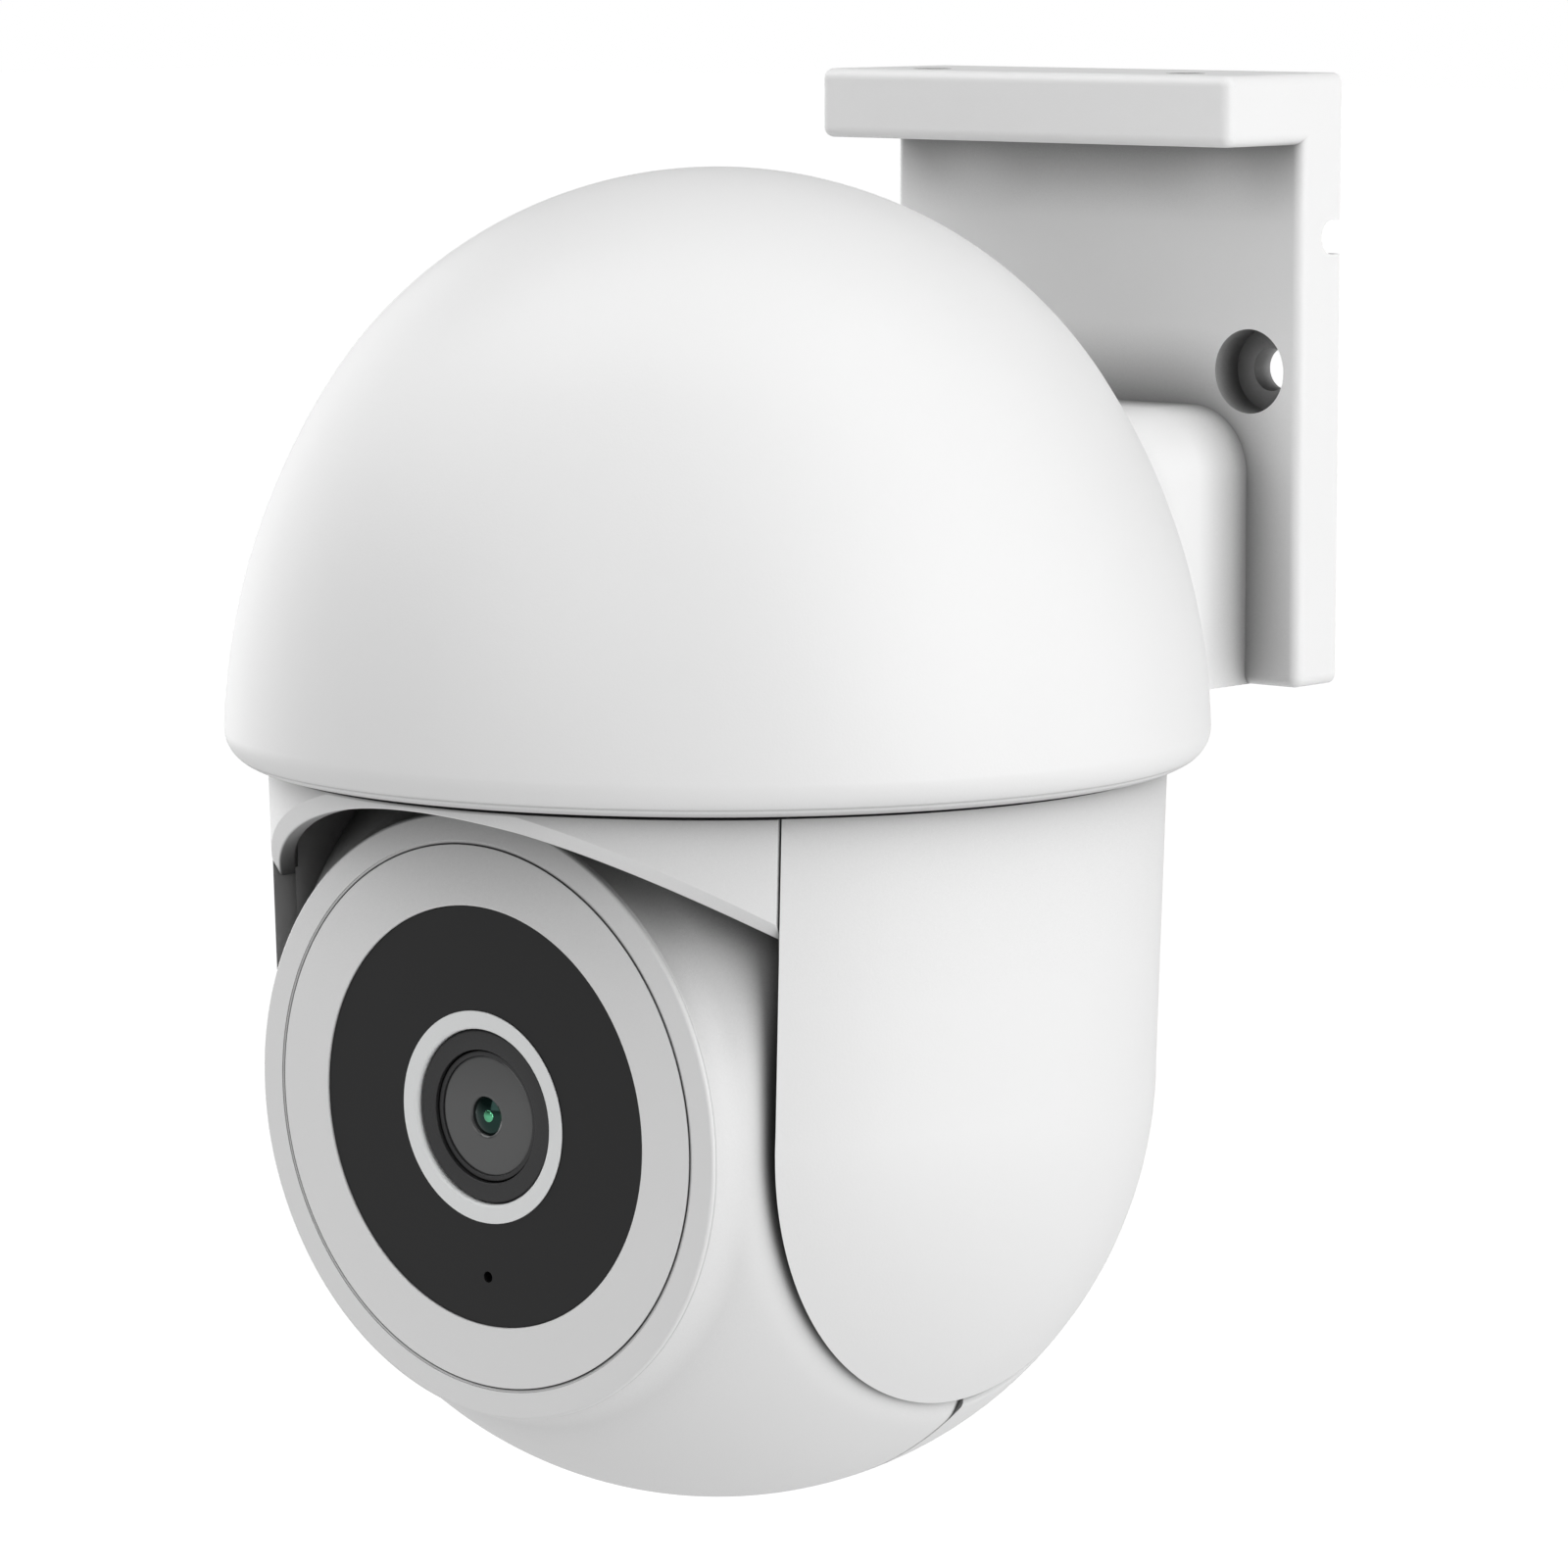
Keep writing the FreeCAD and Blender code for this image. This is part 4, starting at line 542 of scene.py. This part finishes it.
def held_in(across, limit):
    """The distance across, held softly within the limit."""
    near = max(SIDE_SOFT - abs(across - limit), 0) / SIDE_SOFT
    return min(across, limit) - near * near * SIDE_SOFT / 4


def make_ball():
    mesh = bmesh.new()
    outline = ball_outline()
    rings = []
    for step in range(BALL_STEPS):
        angle = 2 * math.pi * step / BALL_STEPS
        ring = []
        for (radius, forward), inset in outline:
            x = radius * math.cos(angle)
            widen = min(1.0, forward / SIDE_TAPER)
            limit = SIDE_REAR + (SIDE_FRONT - SIDE_REAR) * widen * widen * (3 - 2 * widen) - inset
            spot = Vector((math.copysign(held_in(abs(x), limit), x), -forward, radius * math.sin(angle)))
            ring.append(HEAD @ (spot * MM))
        rings.append(ring)
    add_rings(mesh, rings, closed=True)
    piece("ball_front", mesh, "camera_head", "white_plastic", "head_front_shell")


# ---------------------------------------------------------------- dome
# (radius, height) about the pan axis; heights are from the frame's origin.

DOME_WALL = 2.4
DOME_UPPER, DOME_UPPER_Z = 48.76, -24.8
DOME_LOWER, DOME_LOWER_Z = 71.8, -37.4
DOME_RADIUS = 52.5
DOME_BLEND = math.radians(33.1)
LIP_Z = -38.55
LIP_ROUND = 3.6
LIP_INNER = 48.5
LIP_TOP = -36.55
BEAD_START, BEAD_DEPTH = math.radians(-47), 0.14
BEAD_TURNS = (0.03, 0.06, 0.1)


def dome_outline():
    """The dome's section: two arcs, a rolled lip with a fine line in it, and the arcs again inside."""
    lower_centre = (DOME_RADIUS - DOME_LOWER, DOME_LOWER_Z)
    roll_z = LIP_Z + LIP_ROUND
    start = math.asin((roll_z - DOME_LOWER_Z) / DOME_LOWER)
    roll_centre = (lower_centre[0] + DOME_LOWER * math.cos(start) - LIP_ROUND, roll_z)
    inside = math.asin((LIP_TOP - DOME_LOWER_Z) / (DOME_LOWER - DOME_WALL))
    points = list(arc((0, DOME_UPPER_Z), DOME_UPPER, math.pi / 2, DOME_BLEND, 48))
    points += list(arc(lower_centre, DOME_LOWER, DOME_BLEND, start, 40))[1:]
    points += list(arc(roll_centre, LIP_ROUND, 0, BEAD_START, 12))[1:]
    dip, rise, onward = (BEAD_START - turn for turn in BEAD_TURNS)
    points += list(arc(roll_centre, LIP_ROUND - BEAD_DEPTH, dip, rise, 1))
    points += list(arc(roll_centre, LIP_ROUND, onward, -math.pi / 2, 10))
    points += [Vector((LIP_INNER, LIP_Z)), Vector((LIP_INNER, LIP_TOP))]
    points += list(arc(lower_centre, DOME_LOWER - DOME_WALL, inside, DOME_BLEND, 30))
    points += list(arc((0, DOME_UPPER_Z), DOME_UPPER - DOME_WALL, DOME_BLEND, math.pi / 2, 36))[1:]
    return [(max(radius, AXIS_RADIUS), height) for radius, height in points]


def make_dome():
    mesh = bmesh.new()
    add_lathe(mesh, dome_outline(), PAN, axis="Z")
    bmesh.ops.remove_doubles(mesh, verts=mesh.verts, dist=MERGE * MM)
    piece("dome_shell", mesh, "mount", "white_plastic", "dome_cover")


# ---------------------------------------------------------------- rotating housing
# Heights are from the frame's origin; radii are about the pan axis.

TILT_Z = -71.2
TOP_Z = -37.4
STEP_Z = -38.95
TOP_RADIUS = 47.9
BALL_RADIUS = 46.9
SEAM_TOP, SEAM_LEAN = 35.8, 2.6 / 80.7
SEAM_GAP = 0.25
SKIRT_OVERLAP = 0.5
LEAST_FLAT = 0.3
COVER_MIDDLE = 2
TOP_STEPS = 48
BROW_WALL = 3.0
BROW_ARC, BROW_APEX = 60, 32.0
BROW_BEVEL, REAR_BEVEL = 1.9, 1.2
EDGE_INSET = 0.8
BROW_DROP = 0.5
REAR_EDGE = 21.5
COVER_WALL = 2.2
COLLAR_RADIUS = 46.9
COLLAR_OUTLINE = [
    (30, -19.4, 0), (47, -19.4, 0), (47, TOP_Z, 0), (44.6, TOP_Z, 0), (44.6, -21.4, 0), (30, -21.4, 0)]


def seam_at(height):
    """How far the side seam stands from the middle at a height."""
    return SEAM_TOP - SEAM_LEAN * (TOP_Z - height)


def outer_radius(height, inset=0.0):
    """The housing's radius about the pan axis: a slight cone that ends in a ball."""
    if height >= TILT_Z:
        return BALL_RADIUS + (TOP_RADIUS - BALL_RADIUS) * (height - TILT_Z) / (TOP_Z - TILT_Z) - inset
    return math.sqrt(max(0.0, (BALL_RADIUS - inset) ** 2 - (height - TILT_Z) ** 2))


def skirt_section(edge, rise):
    """The skirt's section about the pan axis, from its lower edge, bevelled by rise, up into the collar."""
    inner = TOP_RADIUS - BROW_WALL
    bevel = min(rise, STEP_Z - edge - LEAST_FLAT)
    inset = EDGE_INSET * bevel / rise
    top = TOP_Z + SKIRT_OVERLAP
    return rounded([(inner, edge, 0.3), (outer_radius(edge) - inset, edge, 0.35),
                    (outer_radius(edge + bevel), edge + bevel, 0.3), (outer_radius(STEP_Z), STEP_Z, 0.12),
                    (COLLAR_RADIUS, STEP_Z, 0), (COLLAR_RADIUS, top, 0), (inner, top, 0)], 8)


def add_skirt(mesh, way, lower_edge, rise, steps=96):
    """A curved wall between the seams; way is -1 for the front and 1 for the back."""
    widest = math.asin(SEAM_TOP / TOP_RADIUS)
    rings = []
    for step in range(steps + 1):
        share = math.sin(widest * (2 * step / steps - 1)) / math.sin(widest)
        ring = []
        for radius, height in skirt_section(lower_edge(share * SEAM_TOP), rise):
            x = share * seam_at(height)
            ring.append(PAN @ (Vector((x, way * math.sqrt(radius ** 2 - x ** 2), height)) * MM))
        rings.append(ring)
    add_rings(mesh, rings, closed=False)


def brow_edge(x):
    """The level of the brow's lower edge, an arc over the face."""
    return TILT_Z + BROW_APEX - BROW_DROP - BROW_ARC + math.sqrt(BROW_ARC ** 2 - x ** 2)


def make_housing():
    """The collar in the dome's lip, the brow over the face and the plain skirt behind."""
    mesh = bmesh.new()
    add_lathe(mesh, rounded(COLLAR_OUTLINE), PAN, axis="Z")
    add_skirt(mesh, -1, brow_edge, BROW_BEVEL)
    add_skirt(mesh, 1, lambda x: TILT_Z + REAR_EDGE, REAR_BEVEL)
    piece("brow_housing", mesh, "pan_housing", "white_plastic", "housing_shell", soften=0.3)


def cover_rim(inset, steps):
    """The cover's (y, z) outline: down the seam plane in front, up behind, and along the top."""
    low = TILT_Z
    for _ in range(40):
        low = TILT_Z - math.sqrt((BALL_RADIUS - inset) ** 2 - (seam_at(low) + SEAM_GAP) ** 2)
    outline = []
    for step in range(steps + 1):
        angle = math.pi * step / steps
        height = low + (STEP_Z - low) * (1 + math.cos(angle)) / 2
        across = seam_at(height) + SEAM_GAP
        reach = math.sqrt(max(0.0, outer_radius(height, inset) ** 2 - across ** 2))
        outline.append((-reach, height))
    outline += [(-y, z) for y, z in outline[-2::-1]]
    front = outline[0][0]
    outline += [(-front + 2 * front * (step + 1) / TOP_STEPS, STEP_Z) for step in range(TOP_STEPS - 1)]
    return outline


def add_cover(mesh, side, rings=20, steps=96):
    """A side cover: a bowl cut from the capsule by the seam plane, its outer and inner skins joined."""
    middle = Vector((0, TILT_Z + COVER_MIDDLE))
    on_seam = 2 * steps + 1
    layers = []
    for inset in (0.0, COVER_WALL):
        rim = [Vector(point) for point in cover_rim(inset, steps)]
        layer = []
        for index in range(1, rings + 1):
            share = index / rings
            ring = []
            for place, point in enumerate(rim):
                y, z = middle + (point - middle) * share
                across = math.sqrt(max(0.0, outer_radius(z, inset) ** 2 - y ** 2))
                if index == rings and place < on_seam:
                    across = seam_at(z) + SEAM_GAP
                ring.append(PAN @ (Vector((side * across, y, z)) * MM))
            layer.append(ring)
        across = outer_radius(middle.y, inset)
        layers.append((PAN @ (Vector((side * across, middle.x, middle.y)) * MM), layer))
    (outer_tip, outer), (inner_tip, inner) = layers
    rows = [[mesh.verts.new(point) for point in ring] for ring in outer + inner[::-1]]
    for row, following in zip(rows, rows[1:]):
        for place in range(len(row)):
            onward = (place + 1) % len(row)
            mesh.faces.new((row[place], row[onward], following[onward], following[place]))
    for tip, row in ((outer_tip, rows[0]), (inner_tip, rows[-1])):
        centre = mesh.verts.new(tip)
        for place in range(len(row)):
            mesh.faces.new((centre, row[place], row[(place + 1) % len(row)]))


def make_covers():
    """Both side covers; the faces that look at the pan axis, on the rims and inside, are grey as painted shade."""
    for side, word in ((1, "right"), (-1, "left")):
        mesh = bmesh.new()
        add_cover(mesh, side)
        cover = piece(f"{word}_cover", mesh, "pan_housing", "white_plastic", f"{word}_side_cover",
                      soften=0.35)
        # painted shade on the faces that look at the pan axis
        cover.data.materials.append(materials["painted_shade_grey"])
        for face in cover.data.polygons:
            middle, normal = face.center, face.normal
            radial = Vector((middle.x - PAN_AXIS.x, middle.y - PAN_AXIS.y, 0))
            if radial.dot(normal) < 0:
                face.material_index = 1


make_camera()
make_studio()
materials = dress_nodes()
make_face()
make_ball()
make_dome()
make_housing()
make_covers()
